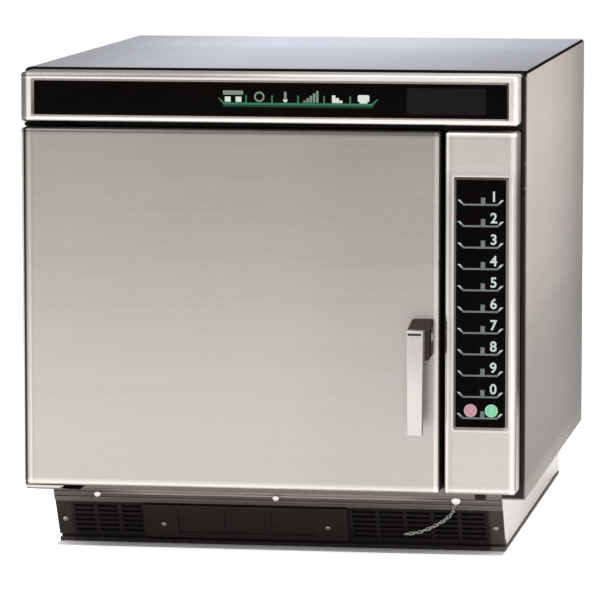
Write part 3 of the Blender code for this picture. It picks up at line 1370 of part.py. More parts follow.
def ring_cut(name, target, half_x, half_z, front, back):
    window = ((CAVITY_X - half_x, front, CAVITY_Z - half_z), (CAVITY_X + half_x, back, CAVITY_Z + half_z))
    return cut_boxes(target, name, [window])


def handle_stud_places():
    z = HANDLE_TOP - (HANDLE_STANDOFF - STUD_SPACING) / 2
    return [(HANDLE_X, z - STUD_SPACING), (HANDLE_X, z)]


def door_outer_panel():
    panel = shell("door_outer_panel", (FASCIA_LEFT, FACE_Y, DOOR_LOW), (DOOR_RIGHT, DOOR_BACK, DOOR_HIGH),
                  ("back",), FACE_SHEET, FACE_BEND, "brushed_steel")
    pin_holes = [(HINGE_X, HINGE_Y, z - OVERRUN) for z in (DOOR_LOW, DOOR_HIGH - FACE_SHEET)]
    cut_rods(panel, "door_pin_holes", pin_holes, "Z", FACE_SHEET + 2 * OVERRUN, HINGE_PIN + RUNNING)
    studs = [(x, FACE_Y - OVERRUN, z) for x, z in handle_stud_places()]
    return cut_rods(panel, "door_stud_holes", studs, "Y", FACE_SHEET + 2 * OVERRUN,
                    STUD_RADIUS + TOUCH, SMALL)


def door_frame():
    """Folded frame behind the skin, with the grooves that choke the microwaves."""
    half_x, half_z = door_frame_half()
    front, back = FACE_Y + FACE_SHEET + TOUCH, DOOR_BACK - BACK_COVER - TOUCH
    frame = block("door_frame", (CAVITY_X - half_x, front, CAVITY_Z - half_z),
                  (CAVITY_X + half_x, back, CAVITY_Z + half_z), "galvanised")
    ring_cut("door_frame_window", frame, half_x - DOOR_FRAME_WIDTH, half_z - DOOR_FRAME_WIDTH,
             front - OVERRUN, back + OVERRUN)
    inset = (DOOR_FRAME_WIDTH - CHOKE_WIDTH) / 2
    far_x, near_x = half_x - inset, half_x - inset - CHOKE_WIDTH
    far_z, near_z = half_z - inset, half_z - inset - CHOKE_WIDTH
    groove = block("choke_groove", (CAVITY_X - far_x, back - CHOKE_DEPTH, CAVITY_Z - far_z),
                   (CAVITY_X + far_x, back + OVERRUN, CAVITY_Z + far_z), None)
    ring_cut("choke_island", groove, near_x, near_z, back - CHOKE_DEPTH - OVERRUN, back + 2 * OVERRUN)
    combine(frame, groove, "DIFFERENCE")
    # Guides for the latch bar, and the seat of its spring
    left = CAVITY_X + half_x - OVERRUN
    right = LATCH_X - LATCH_BAR / 2 - TOUCH
    back_of_bar = LATCH_FRONT + LATCH_BAR_DEPTH
    guides = [((left, LATCH_FRONT, z - LATCH_GUIDE / 2), (right, back_of_bar, z + LATCH_GUIDE / 2))
              for z in (CAVITY_Z - LATCH_GUIDE_SPACING / 2, CAVITY_Z + LATCH_GUIDE_SPACING / 2)]
    seat = LATCH_LOW - TOUCH * 2 - SPRING_LENGTH
    guides.append(((left, LATCH_FRONT, seat - LATCH_GUIDE),
                   (LATCH_X + SPRING_RADIUS * 2, back_of_bar, seat)))
    return weld_boxes(frame, "latch_guides", guides)


def door_inner_plate():
    half_x, half_z = door_frame_half()
    half_x -= DOOR_FRAME_WIDTH + TOUCH
    half_z -= DOOR_FRAME_WIDTH + TOUCH
    back = DOOR_BACK - BACK_COVER - TOUCH
    return shell("door_inner_plate", (CAVITY_X - half_x, back - CHOKE_DEPTH, CAVITY_Z - half_z),
                 (CAVITY_X + half_x, back, CAVITY_Z + half_z), ("front",), INNER_PLATE,
                 PLENUM_BEND, "bright_steel")


def door_back_cover():
    """Plastic frame that closes the back of the door round the inner plate."""
    gap = FACE_SHEET + TOUCH
    cover = block("door_back_cover", (FASCIA_LEFT + gap, DOOR_BACK - BACK_COVER, DOOR_LOW + gap),
                  (DOOR_RIGHT - gap, DOOR_BACK, DOOR_HIGH - gap), "black_plastic", "Y", FACE_BEND)
    half_x, half_z = door_frame_half()
    ring_cut("cover_window", cover, half_x - DOOR_FRAME_WIDTH - OVERRUN,
             half_z - DOOR_FRAME_WIDTH - OVERRUN, DOOR_BACK - BACK_COVER - OVERRUN, DOOR_BACK + OVERRUN)
    slots = hook_slots(DOOR_BACK - BACK_COVER - OVERRUN, DOOR_BACK + OVERRUN)
    return cut_boxes(cover, "cover_hook_slots", slots)


def door_seal():
    half_x = CAVITY_WIDTH / 2 + SEAL_MARGIN
    half_z = CAVITY_HEIGHT / 2 + SEAL_MARGIN
    front, back = DOOR_BACK + TOUCH, FRONT_Y - SEAL_GAP
    seal = block("door_seal", (CAVITY_X - half_x - SEAL_WIDTH, front, CAVITY_Z - half_z - SEAL_WIDTH),
                 (CAVITY_X + half_x + SEAL_WIDTH, back, CAVITY_Z + half_z + SEAL_WIDTH), "silicone",
                 "Y", SEAL_WIDTH)
    return ring_cut("seal_window", seal, half_x, half_z, front - OVERRUN, back + OVERRUN)


def door_handle():
    """Bar cantilevered down from one standoff, a little narrower at its foot."""
    back, front = FACE_Y - TOUCH, FACE_Y - HANDLE_REACH
    foot = HANDLE_TOP - HANDLE_HEIGHT
    throat = HANDLE_TOP - HANDLE_STANDOFF
    bar = front + HANDLE_BAR
    points = [(back, HANDLE_TOP), (front, HANDLE_TOP), (front, foot), (bar, foot),
              (bar, throat - HANDLE_THROAT), (bar + HANDLE_THROAT, throat), (back, throat)]
    handle = side_outline("door_handle", points, HANDLE_X - HANDLE_WIDTH / 2, HANDLE_X + HANDLE_WIDTH / 2,
                          "bright_steel")
    for vert in handle.data.vertices:
        if vert.co.z + handle.location.z < foot + HANDLE_ROUND:
            vert.co.x *= HANDLE_FOOT_SHARE
    soften(handle, HANDLE_ROUND, 2)
    studs = [(x, back - OVERRUN, z) for x, z in handle_stud_places()]
    return weld_rods(handle, "handle_studs", studs, "Y", OVERRUN + TOUCH + STUD_REACH, STUD_RADIUS, SMALL)


def hinge_block(name, low_z):
    """A block inside the door's edge, bored for the hinge pin."""
    half = HINGE_BLOCK / 2
    left = FASCIA_LEFT + FACE_BEND
    high_z = low_z + HINGE_BLOCK_HEIGHT
    piece = block(name, (left, HINGE_Y - half, low_z), (HINGE_X + half, HINGE_Y + half, high_z), "galvanised")
    return cut_rods(piece, name + "_bore", [(HINGE_X, HINGE_Y, low_z - OVERRUN)], "Z",
                    HINGE_BLOCK_HEIGHT + 2 * OVERRUN, HINGE_PIN + RUNNING)


def hinge(name, door_edge, sign):
    """A bracket on the front frame with a pin into the door; sign points away from the door."""
    near = door_edge + sign * HINGE_DOOR_GAP
    far = near + sign * HINGE_PLATE
    low_z, high_z = min(near, far), max(near, far)
    left = FASCIA_LEFT + HINGE_PLATE_INSET
    right = left + HINGE_PLATE_WIDTH
    plate = block(name, (left, FACE_Y + HINGE_PLATE_FRONT, low_z), (right, FASCIA_BACK, high_z),
                  "brushed_steel", "Z", HINGE_PLATE_INSET)
    # The lower tab hangs below its plate; the upper one hangs behind the door
    tab_top = (low_z + high_z) / 2
    tab_foot = low_z - (HINGE_TAB_DROP if sign < 0 else HINGE_TAB_HEIGHT)
    weld_boxes(plate, name + "_tab", [((right - HINGE_TAB_WIDTH, FASCIA_BACK - HINGE_TAB_SHEET, tab_foot),
                                       (right - HINGE_PLATE_INSET, FASCIA_BACK, tab_top))])
    inside = door_edge - sign * HINGE_REACH
    end = (near + far) / 2
    return weld_rods(plate, name + "_pin", [(HINGE_X, HINGE_Y, min(inside, end))], "Z", abs(end - inside),
                     HINGE_PIN)


def latch_bar():
    """Sliding bar in the door with two hooks that reach through the front frame."""
    half = LATCH_BAR / 2
    bar = block("latch_bar", (LATCH_X - half, LATCH_FRONT, LATCH_LOW),
                (LATCH_X + half, LATCH_FRONT + LATCH_BAR_DEPTH, LATCH_HIGH), "galvanised")
    boxes = []
    tip = FRONT_Y + LATCH_HOOK_REACH
    thin = half - TOUCH
    for z in hook_heights():
        boxes.append(((LATCH_X - thin, LATCH_FRONT + LATCH_BAR_DEPTH - OVERRUN, z - LATCH_HOOK_HEIGHT / 2),
                      (LATCH_X + thin, tip, z + LATCH_HOOK_HEIGHT / 2)))
    weld_boxes(bar, "latch_hooks", boxes)
    noses = [((LATCH_X - thin, tip - LATCH_NOSE_LENGTH, z - LATCH_HOOK_HEIGHT / 2 - LATCH_NOSE),
              (LATCH_X + thin, tip - TOUCH, z)) for z in hook_heights()]
    return weld_boxes(bar, "latch_noses", noses)


def latch_spring():
    """Helical spring between its seat on the door frame and the foot of the latch bar."""
    foot = LATCH_LOW - TOUCH - SPRING_LENGTH + SPRING_WIRE
    rise = SPRING_LENGTH - 2 * SPRING_WIRE - TOUCH
    y = LATCH_FRONT + LATCH_BAR_DEPTH / 2
    count = SPRING_TURNS * SPRING_STEPS
    points = []
    for step in range(count + 1):
        turn = 2 * math.pi * step / SPRING_STEPS
        points.append((LATCH_X + SPRING_RADIUS * math.cos(turn), y + SPRING_RADIUS * math.sin(turn),
                       foot + rise * step / count))
    return wire("latch_spring", points, SPRING_WIRE, "bright_steel", resolution=0)


def interlock_switches():
    left = LATCH_X + LATCH_BAR / 2 + LATCH_SLOT_SIDE + SWITCH_GAP
    boxes = []
    for z in hook_heights() + [CAVITY_Z]:
        boxes.append(((left, LINER_FRONT, z - SWITCH_HEIGHT / 2),
                      (left + SWITCH_WIDTH, LINER_FRONT + SWITCH_DEPTH, z + SWITCH_HEIGHT / 2)))
    switches = blocks("interlock_switches", boxes, "black_plastic")
    bracket = ((left, LINER_FRONT, boxes[0][0][2]),
               (left + SWITCH_WIDTH, LINER_FRONT + SWITCH_BRACKET, boxes[1][1][2]))
    return weld_boxes(switches, "switch_bracket", [bracket])


def build_case():
    case_wrap()
    base_pan()
    front_frame()
    rear_panel()
    cord_gland()
    plinth_side("plinth_side_left", -1)
    plinth_side("plinth_side_right", 1)
    front_rail()
    base_grille()
    feet()


def build_fascia():
    display_bezel()
    display_window()
    display_board()
    control_panel()
    keypad_overlay()
    control_board()
    hinge("lower_hinge", DOOR_LOW, -1)
    hinge("upper_hinge", DOOR_HIGH, 1)
    interlock_switches()


def build_cavity():
    cavity_liner()
    insulation()
    ceramic_shelf()
    rack_support("rack_support_left", -1)
    rack_support("rack_support_right", 1)
    temperature_probe()
    feed_cover()
    fan_baffle()
    fan_plenum()
    heating_element()
    convection_motor()
    exhaust_duct()


def build_power():
    lower_waveguide()
    upper_waveguide()
    magnetron("lower_magnetron", LOWER_GUIDE_TOP + TOUCH, 1)
    magnetron("upper_magnetron", UPPER_GUIDE_LOW - TOUCH, -1)
    stirrer_motor()
    blower_housing()
    blower_motor()
    transformers()
    capacitor()


def build_moving():
    door = [door_outer_panel(), door_frame(), door_inner_plate(), door_back_cover(), door_seal(),
            hinge_block("lower_hinge_block", DOOR_LOW + FACE_SHEET + TOUCH),
            hinge_block("upper_hinge_block", DOOR_HIGH - FACE_SHEET - TOUCH - HINGE_BLOCK_HEIGHT),
            door_handle()]
    hinge_line = pivot("door_pivot", (HINGE_X, HINGE_Y, CAVITY_Z), door)
    latch = pivot("latch_pivot", (LATCH_X, LATCH_FRONT, LATCH_LOW), [latch_bar(), latch_spring()])
    latch.parent = hinge_line
    latch.location = latch.location - hinge_line.location
    left, _ = cover_edges()
    pivot("filter_pivot", (left, rake(END_SCREW_HEIGHT), END_SCREW_HEIGHT),
          [filter_cover(), filter_mesh()])
    pivot("rack_pivot", (CAVITY_X, LINER_FRONT + RACK_SETBACK, rack_height()), [oven_rack()])
    pivot("fan_pivot", (CAVITY_X, fan_y()[0], CAVITY_Z), [convection_fan()])
    pivot("stirrer_pivot", (CAVITY_X, CAVITY_Y, LINER_FLOOR), [stirrer()])
    pivot("blower_pivot", wheel_place(), [blower_wheel()])


def main():
    clear_scene()
    build_case()
    build_fascia()
    build_cavity()
    build_power()
    build_moving()
    bpy.context.view_layer.update()


main()
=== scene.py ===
"""Speed oven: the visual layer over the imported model."""

import json
import math

import bmesh
import bpy
from mathutils import Matrix, Vector


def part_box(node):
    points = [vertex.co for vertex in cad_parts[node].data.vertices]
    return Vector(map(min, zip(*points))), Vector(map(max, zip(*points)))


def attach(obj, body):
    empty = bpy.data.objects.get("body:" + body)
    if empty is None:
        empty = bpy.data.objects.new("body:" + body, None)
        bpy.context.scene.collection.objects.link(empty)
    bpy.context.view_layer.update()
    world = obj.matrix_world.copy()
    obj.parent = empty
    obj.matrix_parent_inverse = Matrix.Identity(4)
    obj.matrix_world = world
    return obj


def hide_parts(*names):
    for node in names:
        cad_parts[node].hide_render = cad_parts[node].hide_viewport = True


bl_info = {
    "name": "Speed oven",
    "version": (1, 0, 0),
    "blender": (4, 5, 0),
    "location": "View3D > Sidebar > Speed oven",
    "description": "Builds the visible pieces and finishes of a countertop speed oven on its packed frame",
    "category": "Object",
}

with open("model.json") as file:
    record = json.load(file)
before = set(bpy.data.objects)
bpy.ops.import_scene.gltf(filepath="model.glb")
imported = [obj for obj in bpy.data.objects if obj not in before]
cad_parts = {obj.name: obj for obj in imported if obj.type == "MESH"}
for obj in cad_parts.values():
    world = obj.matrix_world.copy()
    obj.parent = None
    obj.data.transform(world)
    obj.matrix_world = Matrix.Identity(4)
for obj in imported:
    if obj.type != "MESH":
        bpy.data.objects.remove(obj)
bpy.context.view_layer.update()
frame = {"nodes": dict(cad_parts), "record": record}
SKIN = 0.0001


# Shader and geometry node expressions
class Value:
    """A shader socket that takes part in Python expressions."""

    def __init__(self, finish, socket):
        self.finish = finish
        self.socket = socket

    def maths(self, operation, *others):
        inputs = dict(enumerate((self, *others)))
        return self.finish.node("ShaderNodeMath", {"operation": operation}, inputs)

    def __add__(self, other):
        return self.maths("ADD", other)

    __radd__ = __add__

    def __mul__(self, other):
        return self.maths("MULTIPLY", other)

    __rmul__ = __mul__

    def __sub__(self, other):
        return self.maths("SUBTRACT", other)

    def __rsub__(self, other):
        return self.finish.node("ShaderNodeMath", {"operation": "SUBTRACT"}, {0: other, 1: self})

    def over(self, edge):
        return self.maths("GREATER_THAN", edge)

    def under(self, edge):
        return self.maths("LESS_THAN", edge)

    def clamped(self):
        return self.finish.node("ShaderNodeClamp", {}, {"Value": self})

    def spread(self, low, high, start, end):
        """Map a range to another, smoothly, with no value past its ends."""
        settings = {"interpolation_type": "SMOOTHSTEP", "clamp": True}
        return self.finish.node("ShaderNodeMapRange", settings, {
            "Value": self, "From Min": low, "From Max": high, "To Min": start, "To Max": end})


class Finish:
    """A material made of node expressions."""

    def __init__(self, name, colour, roughness, metallic=0.0, **constants):
        self.material = bpy.data.materials.new(name)
        self.material.use_nodes = True
        self.tree = self.material.node_tree
        self.shader = self.tree.nodes["Principled BSDF"]
        self.shader.inputs["Base Color"].default_value = (*colour[:3], 1.0)
        self.shader.inputs["Roughness"].default_value = roughness
        self.shader.inputs["Metallic"].default_value = metallic
        for words, value in constants.items():
            socket = words.replace("_", " ").title().replace("Ior", "IOR")
            self.shader.inputs[socket].default_value = value

    def node(self, kind, settings, inputs, output=0):
        made = self.tree.nodes.new(kind)
        for key, value in settings.items():
            setattr(made, key, value)
        for key, value in inputs.items():
            if isinstance(value, Value):
                self.tree.links.new(value.socket, made.inputs[key])
            else:
                made.inputs[key].default_value = value
        return Value(self, made.outputs[output])

    def place(self):
        return self.node("ShaderNodeTexCoord", {}, {}, "Object")

    def axis(self, letter):
        return self.node("ShaderNodeSeparateXYZ", {}, {"Vector": self.place()}, letter)

    def noise(self, scale, detail=2.0, roughness=0.5, stretch=(1, 1, 1)):
        where = self.node("ShaderNodeVectorMath", {"operation": "MULTIPLY"}, {0: self.place(), 1: stretch})
        return self.node("ShaderNodeTexNoise", {}, {
            "Vector": where, "Scale": scale, "Detail": detail, "Roughness": roughness})

    def cells(self, scale, stretch=(1, 1, 1), output="Color"):
        where = self.node("ShaderNodeVectorMath", {"operation": "MULTIPLY"}, {0: self.place(), 1: stretch})
        return self.node("ShaderNodeTexVoronoi", {}, {"Vector": where, "Scale": scale}, output)

    def profile(self, letter, start, stops):
        """A value that follows stops (distance from the start, value) along an axis."""
        place = self.axis(letter)
        value = stops[0][1]
        for (near, before), (far, after) in zip(stops, stops[1:]):
            if after != before:
                value = place.spread(start + near, start + far, 0.0, after - before) + value
        return value

    def shade(self, colour, amount):
        """A plain colour times a value."""
        return self.node("ShaderNodeVectorMath", {"operation": "SCALE"}, {0: colour, "Scale": amount})

    def tint(self, factor, low, high):
        return self.node("ShaderNodeMix", {"data_type": "RGBA"},
                         {"Factor": factor, 6: (*low, 1.0), 7: (*high, 1.0)}, 2)

    def blend(self, factor, low, high):
        """Mix two colours that are expressions."""
        return self.node("ShaderNodeMix", {"data_type": "RGBA"}, {"Factor": factor, 6: low, 7: high}, 2)

    def set(self, words, value):
        self.tree.links.new(value.socket, self.shader.inputs[words])
        return self

    def bump(self, height, distance, strength):
        return self.set("Normal", self.node("ShaderNodeBump", {}, {
            "Height": height, "Distance": distance, "Strength": strength}))

    def done(self, colour, roughness, height=None, distance=0.0, strength=0.4):
        """Set the colour, the roughness and any bump, and give the material."""
        self.set("Base Color", colour).set("Roughness", roughness)
        if height is not None:
            self.bump(height, distance, strength)
        return self.material


class Pattern:
    """A geometry node tree with named inputs, turned to a plain mesh once it has run."""

    def __init__(self, name, **inputs):
        self.tree = bpy.data.node_groups.new(name, "GeometryNodeTree")
        self.tree.interface.new_socket(name="Geometry", in_out="INPUT", socket_type="NodeSocketGeometry")
        self.tree.interface.new_socket(name="Geometry", in_out="OUTPUT", socket_type="NodeSocketGeometry")
        self.keys = {}
        for words, kind in inputs.items():
            kind = "NodeSocket" + kind
            socket = self.tree.interface.new_socket(name=words, in_out="INPUT", socket_type=kind)
            self.keys[words] = socket.identifier
        self.source = self.tree.nodes.new("NodeGroupInput")
        self.target = self.tree.nodes.new("NodeGroupOutput")

    def given(self, words):
        return self.source.outputs[words]

    def node(self, kind, settings=None, inputs=None, output=0):
        made = self.tree.nodes.new(kind)
        for key, value in (settings or {}).items():
            setattr(made, key, value)
        for key, value in (inputs or {}).items():
            if isinstance(value, bpy.types.NodeSocket):
                self.tree.links.new(value, made.inputs[key])
            else:
                made.inputs[key].default_value = value
        return made.outputs[output]

    def end(self, geometry):
        real = self.node("GeometryNodeRealizeInstances", {}, {"Geometry": geometry})
        paint = {"Geometry": real, "Material": self.given("Finish")}
        painted = self.node("GeometryNodeSetMaterial", {}, paint)
        self.tree.links.new(painted, self.target.inputs[0])

    def grow(self, thing, finish, **values):
        """Run the tree on an object and keep the plain mesh."""
        modifier = thing.modifiers.new("pattern", "NODES")
        modifier.node_group = self.tree
        for words, value in values.items():
            modifier[self.keys[words]] = value
        modifier[self.keys["Finish"]] = finish
        return plain(thing, finish)


# Mesh helpers
def scaled(tone, share):
    """A colour, each part times a share."""
    return tuple(v * share for v in tone)


def linked(name, data):
    thing = bpy.data.objects.new(name, data)
    bpy.context.scene.collection.objects.link(thing)
    return thing


def plain(thing, finish=None, smooth=None):
    """Replace an object by the plain mesh that its modifiers make, in world coordinates."""
    bpy.context.view_layer.update()
    seen = thing.evaluated_get(bpy.context.evaluated_depsgraph_get())
    mesh = bpy.data.meshes.new_from_object(seen)
    mesh.transform(thing.matrix_world)
    name = thing.name
    old = thing.data
    bpy.data.objects.remove(thing, do_unlink=True)
    if isinstance(old, bpy.types.Mesh) and not old.users:
        bpy.data.meshes.remove(old)
    made = linked(name, mesh)
    if smooth is not None:
        mesh.shade_smooth()
        mesh.set_sharp_from_angle(angle=math.radians(smooth))
    if finish:
        mesh.materials.clear()
        mesh.materials.append(finish)
    return made


def from_bmesh(name, bm, finish=None):
    mesh = bpy.data.meshes.new(name)
    bm.to_mesh(mesh)
    bm.free()
    if finish:
        mesh.materials.append(finish)
    return linked(name, mesh)


def add_box(bm, low, high):
    size = [b - a for a, b in zip(low, high)]
    centre = [(a + b) / 2 for a, b in zip(low, high)]
    matrix = Matrix.Translation(centre) @ Matrix.Diagonal((*size, 1))
    return bmesh.ops.create_cube(bm, size=1, matrix=matrix)["verts"]


def add_rod(bm, start, length, radius, sides=24):
    """A rod that stands up from a point."""
    middle = Vector(start) + Vector((0, 0, length / 2))
    bmesh.ops.create_cone(bm, cap_ends=True, segments=sides, radius1=radius, radius2=radius, depth=length,
                          matrix=Matrix.Translation(middle))


def add_ring(bm, radius, thickness, around, tube):
    """A plain torus about the Z axis."""
    rows = []
    for i in range(around):
        a = 2 * math.pi * i / around
        row = []
        for j in range(tube):
            b = 2 * math.pi * j / tube
            reach = radius + thickness * math.cos(b)
            row.append(bm.verts.new((reach * math.cos(a), reach * math.sin(a), thickness * math.sin(b))))
        rows.append(row)
    for i in range(around):
        for j in range(tube):
            bm.faces.new((rows[i][j], rows[(i + 1) % around][j],
                          rows[(i + 1) % around][(j + 1) % tube], rows[i][(j + 1) % tube]))


def add_prism(bm, near, far):
    """A solid between two rings that have the same number of points."""
    near, far = ([bm.verts.new(point) for point in ring] for ring in (near, far))
    bm.faces.new(near)
    bm.faces.new(far[::-1])
    for i in range(len(near)):
        j = (i + 1) % len(near)
        bm.faces.new((near[j], near[i], far[i], far[j]))


def add_plate(bm, outline, front, back):
    """A flat outline in X and Z, given anticlockwise as seen from -Y, made solid between two Y places."""
    add_prism(bm, [(x, front, z) for x, z in outline], [(x, back, z) for x, z in outline])


def rounded(left, right, low, high, radius, steps=6):
    """Outline of a rectangle with round corners, anticlockwise from the lower right."""
    points = []
    for cx, cz, start in ((right - radius, low + radius, -90), (right - radius, high - radius, 0),
                          (left + radius, high - radius, 90), (left + radius, low + radius, 180)):
        for step in range(steps + 1):
            angle = math.radians(start + 90 * step / steps)
            points.append((cx + radius * math.cos(angle), cz + radius * math.sin(angle)))
    return points


def turned_up(left, right, z, rise, run, thick, tip, deep):
    """Outline of a line whose ends turn up: its slant's run, its thickness, and the widths of its tips."""
    shift = thick * 0.4
    return [(left + run, z), (right - run, z), (right, z + rise), (right - tip, z + rise),
            (right - run - shift, z + deep), (left + run + shift, z + deep), (left + tip, z + rise),
            (left, z + rise)]


def circle(x, z, radius, steps=10):
    """Outline of a disc."""
    return rounded(x - radius, x + radius, z - radius, z + radius, radius * 0.999, steps)


def add_frame(bm, outer, inner, front, back):
    """A flat ring between two outlines that have the same number of points."""
    loops = [[bm.verts.new((x, y, z)) for x, z in outline] for outline, y in
             ((outer, front), (inner, front), (inner, back), (outer, back))]
    count = len(outer)
    for first, second in zip(loops, loops[1:] + loops[:1]):
        for i in range(count):
            j = (i + 1) % count
            bm.faces.new((first[i], first[j], second[j], second[i]))


def folded(name, low, high, open_sides, wall, bend, finish, steps=6):
    """Folded sheet: a box that lacks some sides, with smooth bends and one wall thickness."""
    normals = {"front": (0, -1, 0), "back": (0, 1, 0), "left": (-1, 0, 0), "right": (1, 0, 0),
               "top": (0, 0, 1), "bottom": (0, 0, -1)}
    bm = bmesh.new()
    add_box(bm, low, high)
    bm.normal_update()
    gone = [f for f in bm.faces if any(f.normal.dot(Vector(normals[side])) > 0.5 for side in open_sides)]
    bmesh.ops.delete(bm, geom=gone, context="FACES")
    thing = from_bmesh(name, bm)
    bevel = thing.modifiers.new("bends", "BEVEL")
    bevel.width = bend
    bevel.segments = steps
    bevel.limit_method = "ANGLE"
    sheet = thing.modifiers.new("sheet", "SOLIDIFY")
    sheet.thickness = wall
    sheet.offset = -1
    sheet.use_even_offset = True
    return plain(thing, finish, smooth=35)


def shade_returns(thing, start, front, back):
    """Give the folded sides behind a depth their own finish, which paints the shade that falls on them."""
    thing.data.materials.clear()
    thing.data.materials.append(front)
    thing.data.materials.append(back)
    for face in thing.data.polygons:
        face.material_index = 1 if face.center.y > start else 0


def cut(thing, tool, finish, smooth=35):
    change = thing.modifiers.new("cut", "BOOLEAN")
    change.operation = "DIFFERENCE"
    change.solver = "EXACT"
    change.object = tool
    made = plain(thing, finish, smooth)
    bpy.data.objects.remove(tool, do_unlink=True)
    return made


def edged(thing, width, steps=3, finish=None, angle=40):
    """Soften a solid's sharp edges."""
    bevel = thing.modifiers.new("edges", "BEVEL")
    bevel.width = width
    bevel.segments = steps
    bevel.limit_method = "ANGLE"
    bevel.angle_limit = math.radians(angle)
    return plain(thing, finish, smooth=50)


def number(text, size, centre, y, depth, name):
    """A numeral that stands up, facing -Y, as a mesh."""
    curve = bpy.data.curves.new(name, "FONT")
    curve.body = text
    curve.size = size
    curve.extrude = depth / 2
    curve.offset = size * 0.02
    curve.align_x = "CENTER"
    curve.align_y = "CENTER"
    thing = linked(name, curve)
    upright = Matrix.Rotation(math.radians(90), 4, "X")
    thing.matrix_world = Matrix.Translation((centre[0], y, centre[1])) @ upright
    return plain(thing)


def joined(name, things, finish, body):
    """Make several meshes one piece on a body."""
    bm = bmesh.new()
    for thing in things:
        bm.from_mesh(thing.data)
        mesh = thing.data
        bpy.data.objects.remove(thing, do_unlink=True)
        bpy.data.meshes.remove(mesh)
    made = from_bmesh(name, bm, finish)
    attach(made, body)
    return made


# Sizes and colours a user would change
def size(words, value):
    return bpy.props.FloatProperty(name=words, description=words, default=value, unit="LENGTH", precision=5)


def colour(words, value):
    return bpy.props.FloatVectorProperty(name=words, description=words, default=value, subtype="COLOR",
                                         size=3, min=0, max=1)


def share(words, value):
    return bpy.props.FloatProperty(name=words, description=words, default=value, subtype="FACTOR",
                                   min=0, max=1)


def count(words, value):
    return bpy.props.IntProperty(name=words, description=words, default=value, min=1)


class SteelSettings(bpy.types.PropertyGroup):
    warm: colour("Warm steel of the door, panel and bezel", (1.000, 0.943, 0.880))
    # The door's warmer steel at its top is a painted reflection
    warm_top_reflection: colour("Warm steel at the top of the door", (1.000, 0.925, 0.845))
    # The case's side and top are one sheet: their two colours are painted light, the top's blue a painted
    # reflection
    wrap_side: colour("Side of the case", (0.452, 0.392, 0.338))
    wrap_top: colour("Top of the case", (0.462, 0.474, 0.560))
    bright: colour("Handle and screws", (0.640, 0.620, 0.590))
    roughness: share("Brushed steel roughness", 0.30)
    grain: share("Strength of the brushed grain", 0.06)


class PlasticSettings(bpy.types.PropertyGroup):
    black: colour("Louvre and cover black", (0.0195, 0.0155, 0.0138))
    rail: colour("Front rail brown-grey", (0.166, 0.139, 0.126))
    gloss: colour("Window and keypad black", (0.0010, 0.0007, 0.0005))
    strip: colour("Strip between the door and the rail", (0.270, 0.235, 0.212))
    gloss_roughness: share("Window roughness", 0.16)


class FasciaSettings(bpy.types.PropertyGroup):
    bend: size("Radius of the bent edges", 0.0032)
    sheet: size("Sheet thickness", 0.0010)
    rim: size("Width of the raised rim round the keypad", 0.0024)
    rim_proud: size("How far the rim stands out", 0.0004)


class DisplaySettings(bpy.types.PropertyGroup):
    line: colour("Icon strip green", (0.025, 0.110, 0.066))
    icon: colour("Icons", (0.420, 0.455, 0.430))
    faint: colour("Fainter icons", (0.130, 0.165, 0.140))
    dim: colour("Dark display area", (0.0072, 0.0062, 0.0060))
    strip_left: size("Left end of the icon strip", -0.0475)
    strip_right: size("Right end of the icon strip", 0.1071)
    strip_height: size("Height of the icon line", 0.4398)
    stroke: size("Width of the icon line", 0.0016)
    first_icon: size("Centre of the first icon", -0.0326)
    icon_pitch: size("Spacing of the icons", 0.0251)
    dim_left: size("Left edge of the dark display area", 0.1346)
    dim_right: size("Right edge of the dark display area", 0.2101)
    dim_low: size("Lower edge of the dark display area", 0.4322)
    dim_high: size("Upper edge of the dark display area", 0.4570)


class KeypadSettings(bpy.types.PropertyGroup):
    rows: count("Numbered rows", 10)
    first: size("Height of the first row's line", 0.3461)
    pitch: size("Row spacing", 0.02045)
    left: size("Left end of a row's line", 0.1832)
    right: size("Right end of a row's line", 0.2275)
    rise: size("Rise of a line's ends", 0.0054)
    stroke: size("Width of a row's line", 0.0017)
    numeral: size("Height of the numerals", 0.0136)
    numeral_place: size("Centre of the numerals", 0.2180)
    numeral_lift: size("Height of the numerals above their line", 0.0081)
    tick: size("Place of the short tick", 0.2077)
    disc: size("Radius of the coloured discs", 0.0062)
    white: colour("Numerals", (0.360, 0.410, 0.380))
    grey: colour("Row lines", (0.100, 0.118, 0.106))
    red: colour("Stop disc", (0.400, 0.185, 0.235))
    green: colour("Start disc", (0.130, 0.440, 0.245))


class PlinthSettings(bpy.types.PropertyGroup):
    screw_head: size("Radius of the rail screws", 0.0038)
    end_screw_head: size("Radius of the cover and end screws", 0.0027)
    rail_screw_spread: size("Distance of the outer rail screws from the middle", 0.1766)
    rail_screw_height: size("Height of the rail screws", 0.0525)
    end_screw_height: size("Height of the cover and end screws", 0.0245)
    link: size("Length of a chain link", 0.0053)
    link_wire: size("Radius of the chain's wire", 0.00055)


class StageSettings(bpy.types.PropertyGroup):
    floor: colour("Floor", (0.97, 0.97, 0.97))
    lift: share("How pale the floor looks in the object's shadow", 0.62)
    world: share("Light of the surroundings", 0.95)
    lens: bpy.props.FloatProperty(name="Focal length", description="Focal length on a 36 mm sensor",
                                  default=280.68, subtype="DISTANCE_CAMERA")
    distance: size("Distance of the floor's edge", 4.0)


SETTINGS = {"oven_steel": SteelSettings, "oven_plastic": PlasticSettings, "oven_fascia": FasciaSettings,
            "oven_display": DisplaySettings, "oven_keypad": KeypadSettings, "oven_plinth": PlinthSettings,
            "oven_stage": StageSettings}
MADE = {}


# Finishes
def once(make):
    """Make a finish the first time it is asked for."""
    def fetch(*facts):
        key = (make.__name__, *facts)
        if key not in MADE:
            MADE[key] = make(*facts)
        return MADE[key]
    return fetch


